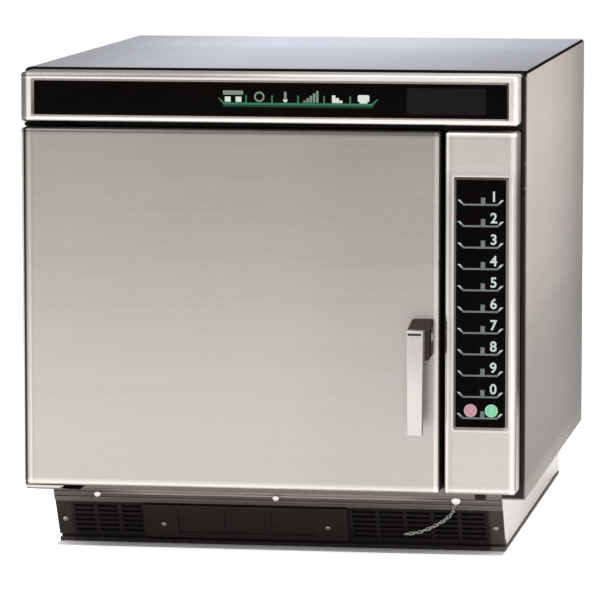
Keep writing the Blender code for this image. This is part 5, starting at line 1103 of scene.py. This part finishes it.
class OVEN_OT_display(bpy.types.Operator):
    """Make the dark display area and the lit icon strip behind the window's face"""

    bl_idname = "oven.display"
    bl_label = "Display"

    def execute(self, context):
        show = context.scene.oven_display
        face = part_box("display_window")[0][1]
        glass = self.glass(face)
        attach(glass, "case")
        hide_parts("display_window")
        bm = bmesh.new()
        add_plate(bm, rounded(show.dim_left, show.dim_right, show.dim_low, show.dim_high, 0.001), face - SKIN,
                  face + SKIN)
        dim = from_bmesh("dark_display", bm, printed("dark display", tuple(show.dim), 0.15))
        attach(dim, "case")
        bright, faint, glow = bmesh.new(), bmesh.new(), bmesh.new()
        self.icons(show, face, bright, faint)
        left, right, z = show.strip_left + 0.005, show.strip_right - 0.005, show.strip_height
        add_box(glow, (left, face - SKIN * 0.6, z - 0.0022), (right, face + SKIN, z))
        low_green = scaled(show.line, 0.30)
        for name, made, ink in (
                ("icon_line", self.line(show, face), printed("icon green", tuple(show.line), 0.5)),
                ("icon_glow", glow, printed("icon low green", low_green, 0.5)),
                ("icons", bright, printed("icon pale", tuple(show.icon), 0.35)),
                ("icons_faint", faint, printed("icon faint", tuple(show.faint), 0.35))):
            thing = from_bmesh(name, made, ink)
            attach(thing, "case")
        return {"FINISHED"}

    def glass(self, face):
        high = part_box("display_window")[1]
        bm = bmesh.new()
        add_plate(bm, rounded(*spread_box("display_window", WINDOW_GLASS), 0.001), face + SKIN / 2, high[1])
        return edged(from_bmesh("window_glass", bm), 0.0003, 2, gloss_black())

    def line(self, show, face):
        left, right, z, thick = show.strip_left, show.strip_right, show.strip_height, show.stroke
        rise, run = 0.0062, 0.0055
        bm = bmesh.new()
        outline = turned_up(left, right, z, rise, run, thick, thick, thick * 1.2)
        add_plate(bm, outline, face - SKIN, face + SKIN)
        for index in range(5):
            x = show.first_icon + show.icon_pitch * (index + 0.49)
            add_box(bm, (x - thick * 0.45, face - SKIN * 0.8, z + thick),
                    (x + thick * 0.45, face + SKIN, z + 0.0090))
        return bm

    def icons(self, show, face, bright, faint):
        z = show.strip_height + show.stroke * 1.6
        centres = [show.first_icon + show.icon_pitch * index for index in range(6)]
        near, far = face - SKIN * 0.9, face + SKIN
        # Dish rack
        x = centres[0]
        add_box(faint, (x - 0.0100, near, z + 0.0068), (x + 0.0095, far, z + 0.0108))
        for side in (-1, 1):
            middle = x + side * 0.0052
            add_box(bright, (middle - 0.0030, near, z), (middle + 0.0026, far, z + 0.0050))
        # Clock
        x = centres[1]
        ring = rounded(x - 0.0050, x + 0.0050, z, z + 0.0100, 0.00498, 8)
        inner = rounded(x - 0.0034, x + 0.0034, z + 0.0016, z + 0.0084, 0.00338, 8)
        add_frame(faint, ring, inner, near, far)
        # Thermometer
        x = centres[2]
        add_box(faint, (x - 0.0012, near, z + 0.0026), (x + 0.0012, far, z + 0.0100))
        add_plate(bright, rounded(x - 0.0020, x + 0.0020, z, z + 0.0040, 0.00195, 5), near, far)
        # Rising bars
        x = centres[3] - 0.0078
        for bar in range(5):
            left = x + bar * 0.0031
            add_box(faint, (left, near, z), (left + 0.0023, far, z + 0.0018 + bar * 0.0023))
        # Portion wedge
        x = centres[4] - 0.0052
        for bar in range(3):
            left = x + bar * 0.0034
            add_box(bright, (left, near, z - 0.0002), (left + 0.0033, far, z + 0.0070 - bar * 0.0024))
        # Serving dome
        x = centres[5]
        add_plate(bright, rounded(x - 0.0056, x + 0.0056, z + 0.0010, z + 0.0076, 0.0016, 4), near, far)
        add_box(bright, (x - 0.0036, near, z - 0.0004), (x + 0.0036, far, z + 0.0010))
        for bm in (bright, faint):
            bmesh.ops.recalc_face_normals(bm, faces=bm.faces)


# The centres of the two discs
STOP_PLACE = 0.1963
START_PLACE = 0.2164


class OVEN_OT_keypad(bpy.types.Operator):
    """Make the membrane keypad with its rows, numerals and two coloured discs"""

    bl_idname = "oven.keypad"
    bl_label = "Keypad"

    def execute(self, context):
        keys = context.scene.oven_keypad
        low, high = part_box("keypad_overlay")
        face = low[1]
        bm = bmesh.new()
        add_plate(bm, rounded(*spread_box("keypad_overlay", KEYPAD_GLASS), 0.001), face + SKIN / 2, high[1])
        overlay = edged(from_bmesh("keypad_membrane", bm), 0.0003, 2, gloss_black())
        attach(overlay, "case")
        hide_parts("keypad_overlay")
        self.rows(keys, face)
        self.numerals(keys, face)
        self.discs(keys, face)
        return {"FINISHED"}

    def rows(self, keys, face):
        """One line with turned-up ends and a tick, repeated down the keypad by nodes."""
        left, right, thick, rise = keys.left, keys.right, keys.stroke, keys.rise
        run = rise * 1.05
        bm = bmesh.new()
        outline = turned_up(left, right, 0, rise, run, thick, thick * 1.5, thick)
        add_plate(bm, outline, face - SKIN, face + SKIN)
        add_box(bm, (keys.tick - thick * 1.2, face - SKIN * 0.8, thick),
                (keys.tick + thick * 1.2, face + SKIN, thick + rise * 1.1))
        row = from_bmesh("keypad_rows", bm)
        repeat = Pattern("keypad row repeat", Count="Int", Pitch="Float", First="Float", Finish="Material")
        drop = repeat.node("ShaderNodeMath", {"operation": "MULTIPLY"}, {0: repeat.given("Pitch"), 1: -1.0})
        offset = repeat.node("ShaderNodeCombineXYZ", {}, {"Z": drop})
        start = repeat.node("ShaderNodeCombineXYZ", {}, {"Z": repeat.given("First")})
        line = repeat.node("GeometryNodeMeshLine", {}, {
            "Count": repeat.given("Count"), "Start Location": start, "Offset": offset})
        rows = repeat.node("GeometryNodeInstanceOnPoints", {}, {
            "Points": line, "Instance": repeat.given("Geometry")})
        repeat.end(rows)
        made = repeat.grow(row, row_ink(), Count=keys.rows + 1, Pitch=keys.pitch, First=keys.first)
        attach(made, "case")

    def numerals(self, keys, face):
        made = []
        for index in range(keys.rows):
            z = keys.first - index * keys.pitch + keys.numeral_lift
            made.append(number(str((index + 1) % 10), keys.numeral, (keys.numeral_place, z), face, 2 * SKIN,
                               f"numeral_{index}"))
        done = joined("keypad_numerals", made, printed("keypad white", tuple(keys.white), 0.4), "case")

    def discs(self, keys, face):
        z = keys.first - keys.rows * keys.pitch + keys.numeral_lift
        for name, x, tone in (("stop_disc", STOP_PLACE, keys.red), ("start_disc", START_PLACE, keys.green)):
            ring = bmesh.new()
            outer, inner = circle(x, z, keys.disc), circle(x, z, keys.disc * 0.86)
            add_plate(ring, inner, face - SKIN * 0.8, face + SKIN)
            disc = from_bmesh(name, ring, printed(name, tuple(tone), 0.35))
            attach(disc, "case")
            ring = bmesh.new()
            add_frame(ring, outer, inner, face - SKIN, face + SKIN)
            bmesh.ops.recalc_face_normals(ring, faces=ring.faces)
            pale = tuple(0.5 * v + 0.22 for v in tone)
            edge = from_bmesh(name + "_edge", ring, printed(name + " edge", pale, 0.3))
            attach(edge, "case")
            mark = bmesh.new()
            if name == "stop_disc":
                for turn in (45, -45):
                    verts = add_box(mark, (-keys.disc * 0.5, 0, -0.0005), (keys.disc * 0.5, 2 * SKIN, 0.0005))
                    bmesh.ops.transform(mark, verts=verts, matrix=Matrix.Rotation(math.radians(turn), 4, "Y"))
            else:
                thin, tall = keys.disc * 0.16, keys.disc * 0.5
                add_box(mark, (-thin, 0, -tall), (thin, 2 * SKIN, tall))
            bmesh.ops.translate(mark, verts=mark.verts, vec=(x, face - SKIN, z))
            sign = from_bmesh(name + "_mark", mark, printed(name + " edge", pale, 0.3))
            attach(sign, "case")


# The bar's depth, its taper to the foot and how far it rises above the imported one
BAR_DEPTH = 0.012
BAR_TAPER = 0.125
BAR_RISE = 0.0012
# The cast end at the top: how high it stands at the door, and where it leaves the bar's face
CAST_RISE = 0.0067
CAST_EDGE = 0.0040
# The underside of the standoff, its round and the gap it keeps from the door
THROAT_DROP = 0.029
THROAT_FILLET = 0.006
THROAT_STEPS = 5
STANDOFF_GAP = 0.0003
# How far the standoff passes the bar at its outer side, and its share of the half width at the inner one
STANDOFF_PROUD = 0.0048
STANDOFF_INNER = 0.8
# The joint line under the cast end: its lower and upper edge below the bar's top
JOINT_LINE = (0.0045, 0.0024)


class OVEN_OT_handle(bpy.types.Operator):
    """Make the pull handle: a bar cantilevered from one standoff"""

    bl_idname = "oven.handle"
    bl_label = "Handle"

    def execute(self, context):
        low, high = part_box("door_handle")
        front, top, foot = low[1] + SKIN, high[2] + BAR_RISE, low[2]
        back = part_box("door_outer_panel")[0][1] - STANDOFF_GAP
        bar, throat = front + BAR_DEPTH, top - THROAT_DROP
        profile = [(back, top + CAST_RISE), (front + CAST_EDGE, top), (front, top), (front, foot),
                   (bar, foot), (bar, throat - THROAT_FILLET)]
        for step in range(1, THROAT_STEPS + 1):
            angle = math.radians(90 * step / THROAT_STEPS)
            profile.append((bar + THROAT_FILLET * (1 - math.cos(angle)),
                            throat - THROAT_FILLET * (1 - math.sin(angle))))
        profile.append((back, throat))
        centre, half = (low[0] + high[0]) / 2, (high[0] - low[0]) / 2
        bm = bmesh.new()
        add_prism(bm, *([(centre + side * half * (1 - BAR_TAPER * (top - z) / (top - foot)), y, z)
                         for y, z in profile] for side in (1, -1)))
        # The standoff is wider than the bar at its outer side
        outline = [(bar, top + 0.0016), (back, top + 0.0070), (back, throat + 0.0022),
                   (bar + 0.0050, throat + 0.0010), (bar, throat - 0.0008)]
        add_prism(bm, *([(x, y, z) for y, z in outline]
                        for x in (centre + half + STANDOFF_PROUD, centre - half * STANDOFF_INNER)))
        bmesh.ops.recalc_face_normals(bm, faces=bm.faces)
        handle = edged(from_bmesh("pull_handle", bm), 0.0012, 4, handle_steel(), 50)
        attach(handle, "door")
        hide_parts("door_handle")
        bm = bmesh.new()
        reach = half * STANDOFF_INNER
        add_box(bm, (centre - reach, front - SKIN, top - JOINT_LINE[0]),
                (centre + reach, front + SKIN, top - JOINT_LINE[1]))
        line = from_bmesh("handle_line", bm, black_plastic())
        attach(line, "door")
        return {"FINISHED"}


# The plinth's front leans back by this much for each unit down
RAKE_RUN = 0.030 / 0.050
RAKE_NORMAL = Vector((0, -1, -RAKE_RUN)).normalized()


def rake_point(x, z, stand):
    """A point that stands off the plinth's raked front by a distance."""
    low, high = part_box("base_grille")
    return Vector((x, low[1] + RAKE_RUN * (high[2] - z), z)) + RAKE_NORMAL * stand


def add_raked(bm, left, right, low, high, stands):
    """A flat block on the raked front, between two distances from it; returns the Y of its first corner."""
    corners = ((left, low), (right, low), (right, high), (left, high))
    near, far = ([rake_point(x, z, stand) for x, z in corners] for stand in stands)
    add_prism(bm, near, far)
    return near[0].y


# The dark backing's two spans and its heights, behind the louvres at either side of the filter cover: a sheet
# that paints the shade behind the slots
LOUVRE_SPANS = ((-0.2080, -0.1300), (0.0640, 0.2080))
LOUVRE_HEIGHTS = (0.0078, 0.0428)
LOUVRE_STANDS = (-0.0042, -0.0050)
# The sills: their heights above the counter, and how far they stand off the front and the sides
SILL_HEIGHTS = (0.0008, 0.0042)
SILL_STANDS = (0.0008, -0.0010)
SIDE_SILL_HEIGHTS = (0.0003, 0.0034)
SIDE_SILL_STANDS = (0.0010, 0.0003)
# Opposite corners of the hinge's block and of the slot above the rail, and the cap's outline and depth
HINGE_BLOCK = ((-0.2024, -0.2835, 0.0640), (-0.1845, -0.2620, 0.0678))
RAIL_SLOT = ((0.1960, -0.2471, 0.0572), (0.2066, -0.2462, 0.0622))
HINGE_CAP = ((-0.2385, 0.0656), (-0.2048, 0.0656), (-0.1990, 0.0682), (-0.2385, 0.0682))
HINGE_CAP_DEPTH = (-0.2886, -0.2832)


class OVEN_OT_plinth(bpy.types.Operator):
    """Make the dark sheet that paints the shade behind the louvres, the lower hinge's block and cap, the
    sills and the slot above the rail
    """

    bl_idname = "oven.plinth"
    bl_label = "Plinth details"

    def execute(self, context):
        bm = bmesh.new()
        for left, right in LOUVRE_SPANS:
            add_raked(bm, left, right, *LOUVRE_HEIGHTS, LOUVRE_STANDS)
        bmesh.ops.recalc_face_normals(bm, faces=bm.faces)
        backing = from_bmesh("louvre_backing", bm, black_coat())
        # The hinge's block is gloss black: painted shade of the dark notch under the door near its lower left
        # corner
        bm = bmesh.new()
        add_box(bm, *HINGE_BLOCK)
        block = edged(from_bmesh("hinge_block_end", bm), 0.0004, 2, gloss_black())
        bm = bmesh.new()
        add_plate(bm, HINGE_CAP, *HINGE_CAP_DEPTH)
        cap_steel = steel("hinge cap steel", (0.56, 0.53, 0.49), 0.3, "X")
        cap = edged(from_bmesh("lower_hinge_cap", bm), 0.0003, 2, cap_steel)
        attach(cap, "case")
        # The sills close the plinth down to the floor
        grille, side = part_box("base_grille"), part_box("plinth_side_right")
        bm = bmesh.new()
        front = add_raked(bm, grille[0][0], grille[1][0], *SILL_HEIGHTS, SILL_STANDS)
        behind, proud = SIDE_SILL_STANDS
        for x, way in ((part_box("plinth_side_left")[0][0], -1), (side[1][0], 1)):
            inner, outer = sorted((x - way * behind, x + way * proud))
            add_box(bm, (inner, front, SIDE_SILL_HEIGHTS[0]), (outer, side[1][1], SIDE_SILL_HEIGHTS[1]))
        bmesh.ops.recalc_face_normals(bm, faces=bm.faces)
        # The sill's coat is the grille's made 2.2 times lighter: painted light
        sill = from_bmesh("plinth_sill", bm, grille_coat("sill coat", 2.2))
        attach(sill, "case")
        # The slot above the rail is a thin black plate: painted shade of its inside
        bm = bmesh.new()
        add_box(bm, *RAIL_SLOT)
        slot = edged(from_bmesh("rail_slot", bm), 0.0002, 2, black_plastic())
        for thing in (backing, block, slot):
            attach(thing, "case")
        return {"FINISHED"}


# The rail's screws: side, height over the common one and size; and how far the rail stands off the rake
RAIL_SCREWS = ((-1, 0.0030, 0.90), (0, 0.0027, 0.90), (1, 0.0046, 1.25))
RAIL_STAND = 0.0040
# The insets of the grille's, the cover's and the rear panel's screws, and the rear ones' sizes
END_INSET = 0.008
COVER_INSET = 0.0195
COVER_DROP = 0.001
COVER_STAND = 0.0039
REAR_INSET = 0.012
REAR_HEAD = 0.0040
REAR_TOP_PITCH = 0.12
REAR_TOP_DROP = 0.010
REAR_TOP_HEAD = 0.0036


class OVEN_OT_screws(bpy.types.Operator):
    """Set cross-head screws on the rail, grille, filter cover and rear panel by nodes"""

    bl_idname = "oven.screws"
    bl_label = "Screws"

    def template(self):
        """A domed head with a cross recess, facing +Z, one unit in radius."""
        bm = bmesh.new()
        steps, sides, dome, rim = 5, 24, 0.42, 0.12
        round_angles = [2 * math.pi * i / sides for i in range(sides)]
        rings = []
        for step in range(steps):
            turn = math.radians(90 * step / steps)
            radius, height = math.cos(turn), dome * math.sin(turn) + rim
            rings.append([bm.verts.new((radius * math.cos(a), radius * math.sin(a), height))
                          for a in round_angles])
        foot = [bm.verts.new((v.co.x, v.co.y, 0)) for v in rings[0]]
        for lower, upper in zip([foot] + rings, rings):
            for i in range(sides):
                j = (i + 1) % sides
                bm.faces.new((lower[i], lower[j], upper[j], upper[i]))
        bm.faces.new(rings[-1])
        bm.faces.new(foot[::-1])
        head = from_bmesh("screw_template", bm)
        long, wide, floor, above = 0.55, 0.11, 0.30, 0.8
        for name, x, y in (("slot_a", long, wide), ("slot_b", wide, long)):
            bm = bmesh.new()
            add_box(bm, (-x, -y, floor), (x, y, above))
            head = cut(head, from_bmesh(name, bm), None)
        return head

    def pattern(self):
        place = Pattern("screw placing", Head="Object", Finish="Material")
        head = place.node("GeometryNodeObjectInfo", {}, {"Object": place.given("Head")}, "Geometry")
        facing, reach = (
            place.node("GeometryNodeInputNamedAttribute", {"data_type": kind}, {"Name": name})
            for name, kind in (("facing", "FLOAT_VECTOR"), ("reach", "FLOAT")))
        turn = place.node("FunctionNodeAlignRotationToVector", {"axis": "Z"}, {"Vector": facing})
        heads = place.node("GeometryNodeInstanceOnPoints", {}, {
            "Points": place.given("Geometry"), "Instance": head, "Rotation": turn, "Scale": reach})
        place.end(heads)
        return place

    def group(self, name, places, head, place, body, share):
        mesh = bpy.data.meshes.new(name)
        mesh.from_pydata([tuple(p) for p, _, _ in places], [], [])
        mesh.attributes.new("facing", "FLOAT_VECTOR", "POINT")
        mesh.attributes.new("reach", "FLOAT", "POINT")
        for index, (_, normal, radius) in enumerate(places):
            mesh.attributes["facing"].data[index].vector = normal
            mesh.attributes["reach"].data[index].value = radius
        # The share makes each group's steel lighter or darker: painted light and shade
        finish = bright_steel(name.replace("_", " ") + " steel", share)
        made = place.grow(linked(name, mesh), finish, Head=head)
        made.data.shade_smooth()
        made.data.set_sharp_from_angle(angle=math.radians(40))
        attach(made, body)

    def execute(self, context):
        plinth = context.scene.oven_plinth
        head, place = self.template(), self.pattern()
        fixed = []
        for side, lift, reach in RAIL_SCREWS:
            spot = rake_point(side * plinth.rail_screw_spread, plinth.rail_screw_height + lift, RAIL_STAND)
            fixed.append((spot, Vector((0, -1, 0)), plinth.screw_head * reach))
        self.group("rail_screw_heads", fixed, head, place, "case", 1.35)
        fixed = []
        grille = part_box("base_grille")
        for x in (grille[0][0] + END_INSET, grille[1][0] - END_INSET):
            spot = rake_point(x, plinth.end_screw_height, 0.0)
            fixed.append((spot, RAKE_NORMAL, plinth.end_screw_head))
        low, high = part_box("rear_panel")
        for x in (low[0] + REAR_INSET, high[0] - REAR_INSET):
            for z in (low[2] + REAR_INSET, (low[2] + high[2]) / 2, high[2] - REAR_INSET):
                fixed.append((Vector((x, high[1], z)), Vector((0, 1, 0)), REAR_HEAD))
        for x in (-REAR_TOP_PITCH, 0.0, REAR_TOP_PITCH):
            fixed.append((Vector((x, high[1], high[2] - REAR_TOP_DROP)), Vector((0, 1, 0)), REAR_TOP_HEAD))
        self.group("case_screw_heads", fixed, head, place, "case", 0.72)
        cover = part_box("filter_cover")
        spots = []
        for x in (cover[0][0] + COVER_INSET, cover[1][0] - COVER_INSET):
            spot = rake_point(x, plinth.end_screw_height - COVER_DROP, COVER_STAND)
            spots.append((spot, RAKE_NORMAL, plinth.end_screw_head))
        self.group("cover_screw_heads", spots, head, place, "filter", 0.60)
        bpy.data.objects.remove(head, do_unlink=True)
        return {"FINISHED"}


# The chain's path over the raked front: across, up and off it
CHAIN_ROUTE = (
    (0.1750, 0.0520, 0.0055), (0.1725, 0.0440, 0.0042), (0.1690, 0.0392, 0.0028), (0.1640, 0.0345, 0.0028),
    (0.1570, 0.0300, 0.0028), (0.1480, 0.0250, 0.0028), (0.1380, 0.0208, 0.0028), (0.1260, 0.0186, 0.0028))
# One link, in link lengths: its end's radius, its wire, half its straight part, and the step to the next
LINK_ROUND = 0.26
LINK_THICKNESS = 0.15
LINK_STRETCH = 0.30
LINK_STEP = 0.80


class OVEN_OT_chain(bpy.types.Operator):
    """Hang the short tether chain from the right rail screw to the louvres, link by link"""

    bl_idname = "oven.chain"
    bl_label = "Tether chain"

    def execute(self, context):
        plinth = context.scene.oven_plinth
        points = [rake_point(*spot) for spot in CHAIN_ROUTE]
        mesh = bpy.data.meshes.new("tether_chain")
        mesh.from_pydata([tuple(p) for p in points], [(i, i + 1) for i in range(len(points) - 1)], [])
        run = linked("tether_chain", mesh)
        bm = bmesh.new()
        add_ring(bm, LINK_ROUND, LINK_THICKNESS, 12, 6)
        for vert in bm.verts:
            vert.co.x += LINK_STRETCH if vert.co.x > 0 else -LINK_STRETCH
        link = from_bmesh("link_template", bm)
        chain = Pattern("chain of links", Link="Object", Length="Float", Finish="Material")
        shape = chain.node("GeometryNodeObjectInfo", {}, {"Object": chain.given("Link")}, "Geometry")
        curve = chain.node("GeometryNodeMeshToCurve", {}, {"Mesh": chain.given("Geometry")})
        step = chain.node("ShaderNodeMath", {"operation": "MULTIPLY"}, {
            0: chain.given("Length"), 1: LINK_STEP})
        spaced = chain.node("GeometryNodeResampleCurve", {"mode": "LENGTH"}, {"Curve": curve, "Length": step})
        tangent = chain.node("GeometryNodeInputTangent")
        aim = chain.node("FunctionNodeAlignRotationToVector", {"axis": "X"}, {"Vector": tangent})
        index = chain.node("GeometryNodeInputIndex")
        odd = chain.node("ShaderNodeMath", {"operation": "MODULO"}, {0: index, 1: 2.0})
        twist = chain.node("ShaderNodeMath", {"operation": "MULTIPLY"}, {0: odd, 1: math.pi / 2})
        rolled = chain.node("ShaderNodeCombineXYZ", {}, {"X": twist})
        turn = chain.node("FunctionNodeRotateRotation", {"rotation_space": "LOCAL"}, {
            "Rotation": aim, "Rotate By": chain.node("FunctionNodeEulerToRotation", {}, {"Euler": rolled})})
        links = chain.node("GeometryNodeInstanceOnPoints", {}, {
            "Points": spaced, "Instance": shape, "Rotation": turn, "Scale": chain.given("Length")})
        chain.end(links)
        made = chain.grow(run, bright_steel("chain steel", 0.85), Link=link, Length=plinth.link)
        made.data.shade_smooth()
        bpy.data.objects.remove(link, do_unlink=True)
        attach(made, "case")
        return {"FINISHED"}


# Each lamp's name, place, target, width and power
LAMPS = (("key", (-1.6, -1.9, 2.2), (0, 0, 0.2), 1.6, 38), ("fill", (2.2, -1.2, 1.4), (0.1, 0, 0.2), 1.4, 12),
         ("top", (0.0, 0.2, 2.4), (0, 0, 0.2), 2.2, 22))
# The camera's place and its turn to the left and down, in radians
CAMERA_PLACE = (0.71387, -4.6863, 0.7454)
CAMERA_YAW = 0.1539
CAMERA_PITCH = 0.1102
CAMERA_SENSOR = 36


class OVEN_OT_stage(bpy.types.Operator):
    """Set the floor, the surroundings, the lamps and the camera"""

    bl_idname = "oven.stage"
    bl_label = "Stage"

    def floor(self, stage):
        bm = bmesh.new()
        reach = stage.distance
        bmesh.ops.create_grid(bm, x_segments=1, y_segments=1, size=reach)
        floor = from_bmesh("floor", bm)
        finish = Finish("pale floor", tuple(stage.floor), 0.8, 0.0, specular_ior_level=0.0)
        cloud = finish.noise(2.0)
        finish.set("Base Color", finish.tint(cloud, scaled(stage.floor, 0.99), tuple(stage.floor)))
        seen = finish.node("ShaderNodeLightPath", {}, {}, "Is Camera Ray")
        # No lift inside the plinth, which the pulled filter cover opens to view
        low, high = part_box("plinth_side_left")[0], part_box("plinth_side_right")[1]
        x, y = finish.axis("X"), finish.axis("Y")
        inside = x.over(low[0]) * x.under(high[0]) * y.over(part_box("base_grille")[0][1]) * y.under(high[1])
        finish.set("Emission Color", finish.shade((1, 1, 1), seen * (1 - inside) * stage.lift))
        finish.shader.inputs["Emission Strength"].default_value = 1.0
        floor.data.materials.append(finish.material)

    def surroundings(self, stage):
        world = bpy.data.worlds.new("surroundings")
        bpy.context.scene.world = world
        world.use_nodes = True
        tree = world.node_tree
        path = tree.nodes.new("ShaderNodeLightPath")
        seen = path.outputs["Is Camera Ray"]
        for words in ("Is Glossy Ray", "Is Transmission Ray"):
            most = tree.nodes.new("ShaderNodeMath")
            most.operation = "MAXIMUM"
            tree.links.new(seen, most.inputs[0])
            tree.links.new(path.outputs[words], most.inputs[1])
            seen = most.outputs[0]
        span = tree.nodes.new("ShaderNodeMapRange")
        span.inputs["To Min"].default_value = stage.world
        tree.links.new(seen, span.inputs["Value"])
        backing = tree.nodes["Background"]
        backing.inputs["Color"].default_value = (1, 1, 1, 1)
        tree.links.new(span.outputs[0], backing.inputs["Strength"])

    def lamp(self, name, place, target, width, power):
        light = bpy.data.lights.new(name, "AREA")
        light.shape = "RECTANGLE"
        light.size = light.size_y = width
        light.energy = power
        thing = linked(name, light)
        thing.location = place
        aim = (Vector(target) - Vector(place)).to_track_quat("-Z", "Y")
        thing.rotation_euler = aim.to_euler()

    def execute(self, context):
        stage = context.scene.oven_stage
        self.floor(stage)
        self.surroundings(stage)
        for row in LAMPS:
            self.lamp(*row)
        camera = bpy.data.cameras.new("photo camera")
        camera.sensor_width = CAMERA_SENSOR
        camera.lens = stage.lens
        thing = linked("photo camera", camera)
        thing.location = CAMERA_PLACE
        level = math.cos(CAMERA_PITCH)
        forward = Vector((-math.sin(CAMERA_YAW) * level, math.cos(CAMERA_YAW) * level,
                          -math.sin(CAMERA_PITCH)))
        thing.rotation_euler = forward.to_track_quat("-Z", "Y").to_euler()
        context.scene.camera = thing
        context.scene.view_settings.view_transform = "Standard"
        return {"FINISHED"}


STEPS = (OVEN_OT_finishes, OVEN_OT_case, OVEN_OT_door, OVEN_OT_panels, OVEN_OT_display, OVEN_OT_keypad,
         OVEN_OT_handle, OVEN_OT_plinth, OVEN_OT_screws, OVEN_OT_chain, OVEN_OT_stage)


class OVEN_PT_pieces(bpy.types.Panel):
    """Lists the steps and their sizes"""

    bl_idname = "OVEN_PT_pieces"
    bl_label = "Speed oven"
    bl_space_type = "VIEW_3D"
    bl_region_type = "UI"
    bl_category = "Speed oven"

    def draw(self, context):
        for step in STEPS:
            self.layout.operator(step.bl_idname)
        for key in SETTINGS:
            group = getattr(context.scene, key)
            box = self.layout.box()
            for words in group.bl_rna.properties.keys():
                if words not in ("rna_type", "name"):
                    box.prop(group, words)


def register():
    for key, group in SETTINGS.items():
        bpy.utils.register_class(group)
        setattr(bpy.types.Scene, key, bpy.props.PointerProperty(type=group))
    for piece in (*STEPS, OVEN_PT_pieces):
        bpy.utils.register_class(piece)


def unregister():
    for piece in (OVEN_PT_pieces, *reversed(STEPS)):
        bpy.utils.unregister_class(piece)
    for key, group in SETTINGS.items():
        delattr(bpy.types.Scene, key)
        bpy.utils.unregister_class(group)


def main():
    register()
    for step in STEPS:
        family, name = step.bl_idname.split(".")
        getattr(getattr(bpy.ops, family), name)()


if __name__ == "__main__":
    main()
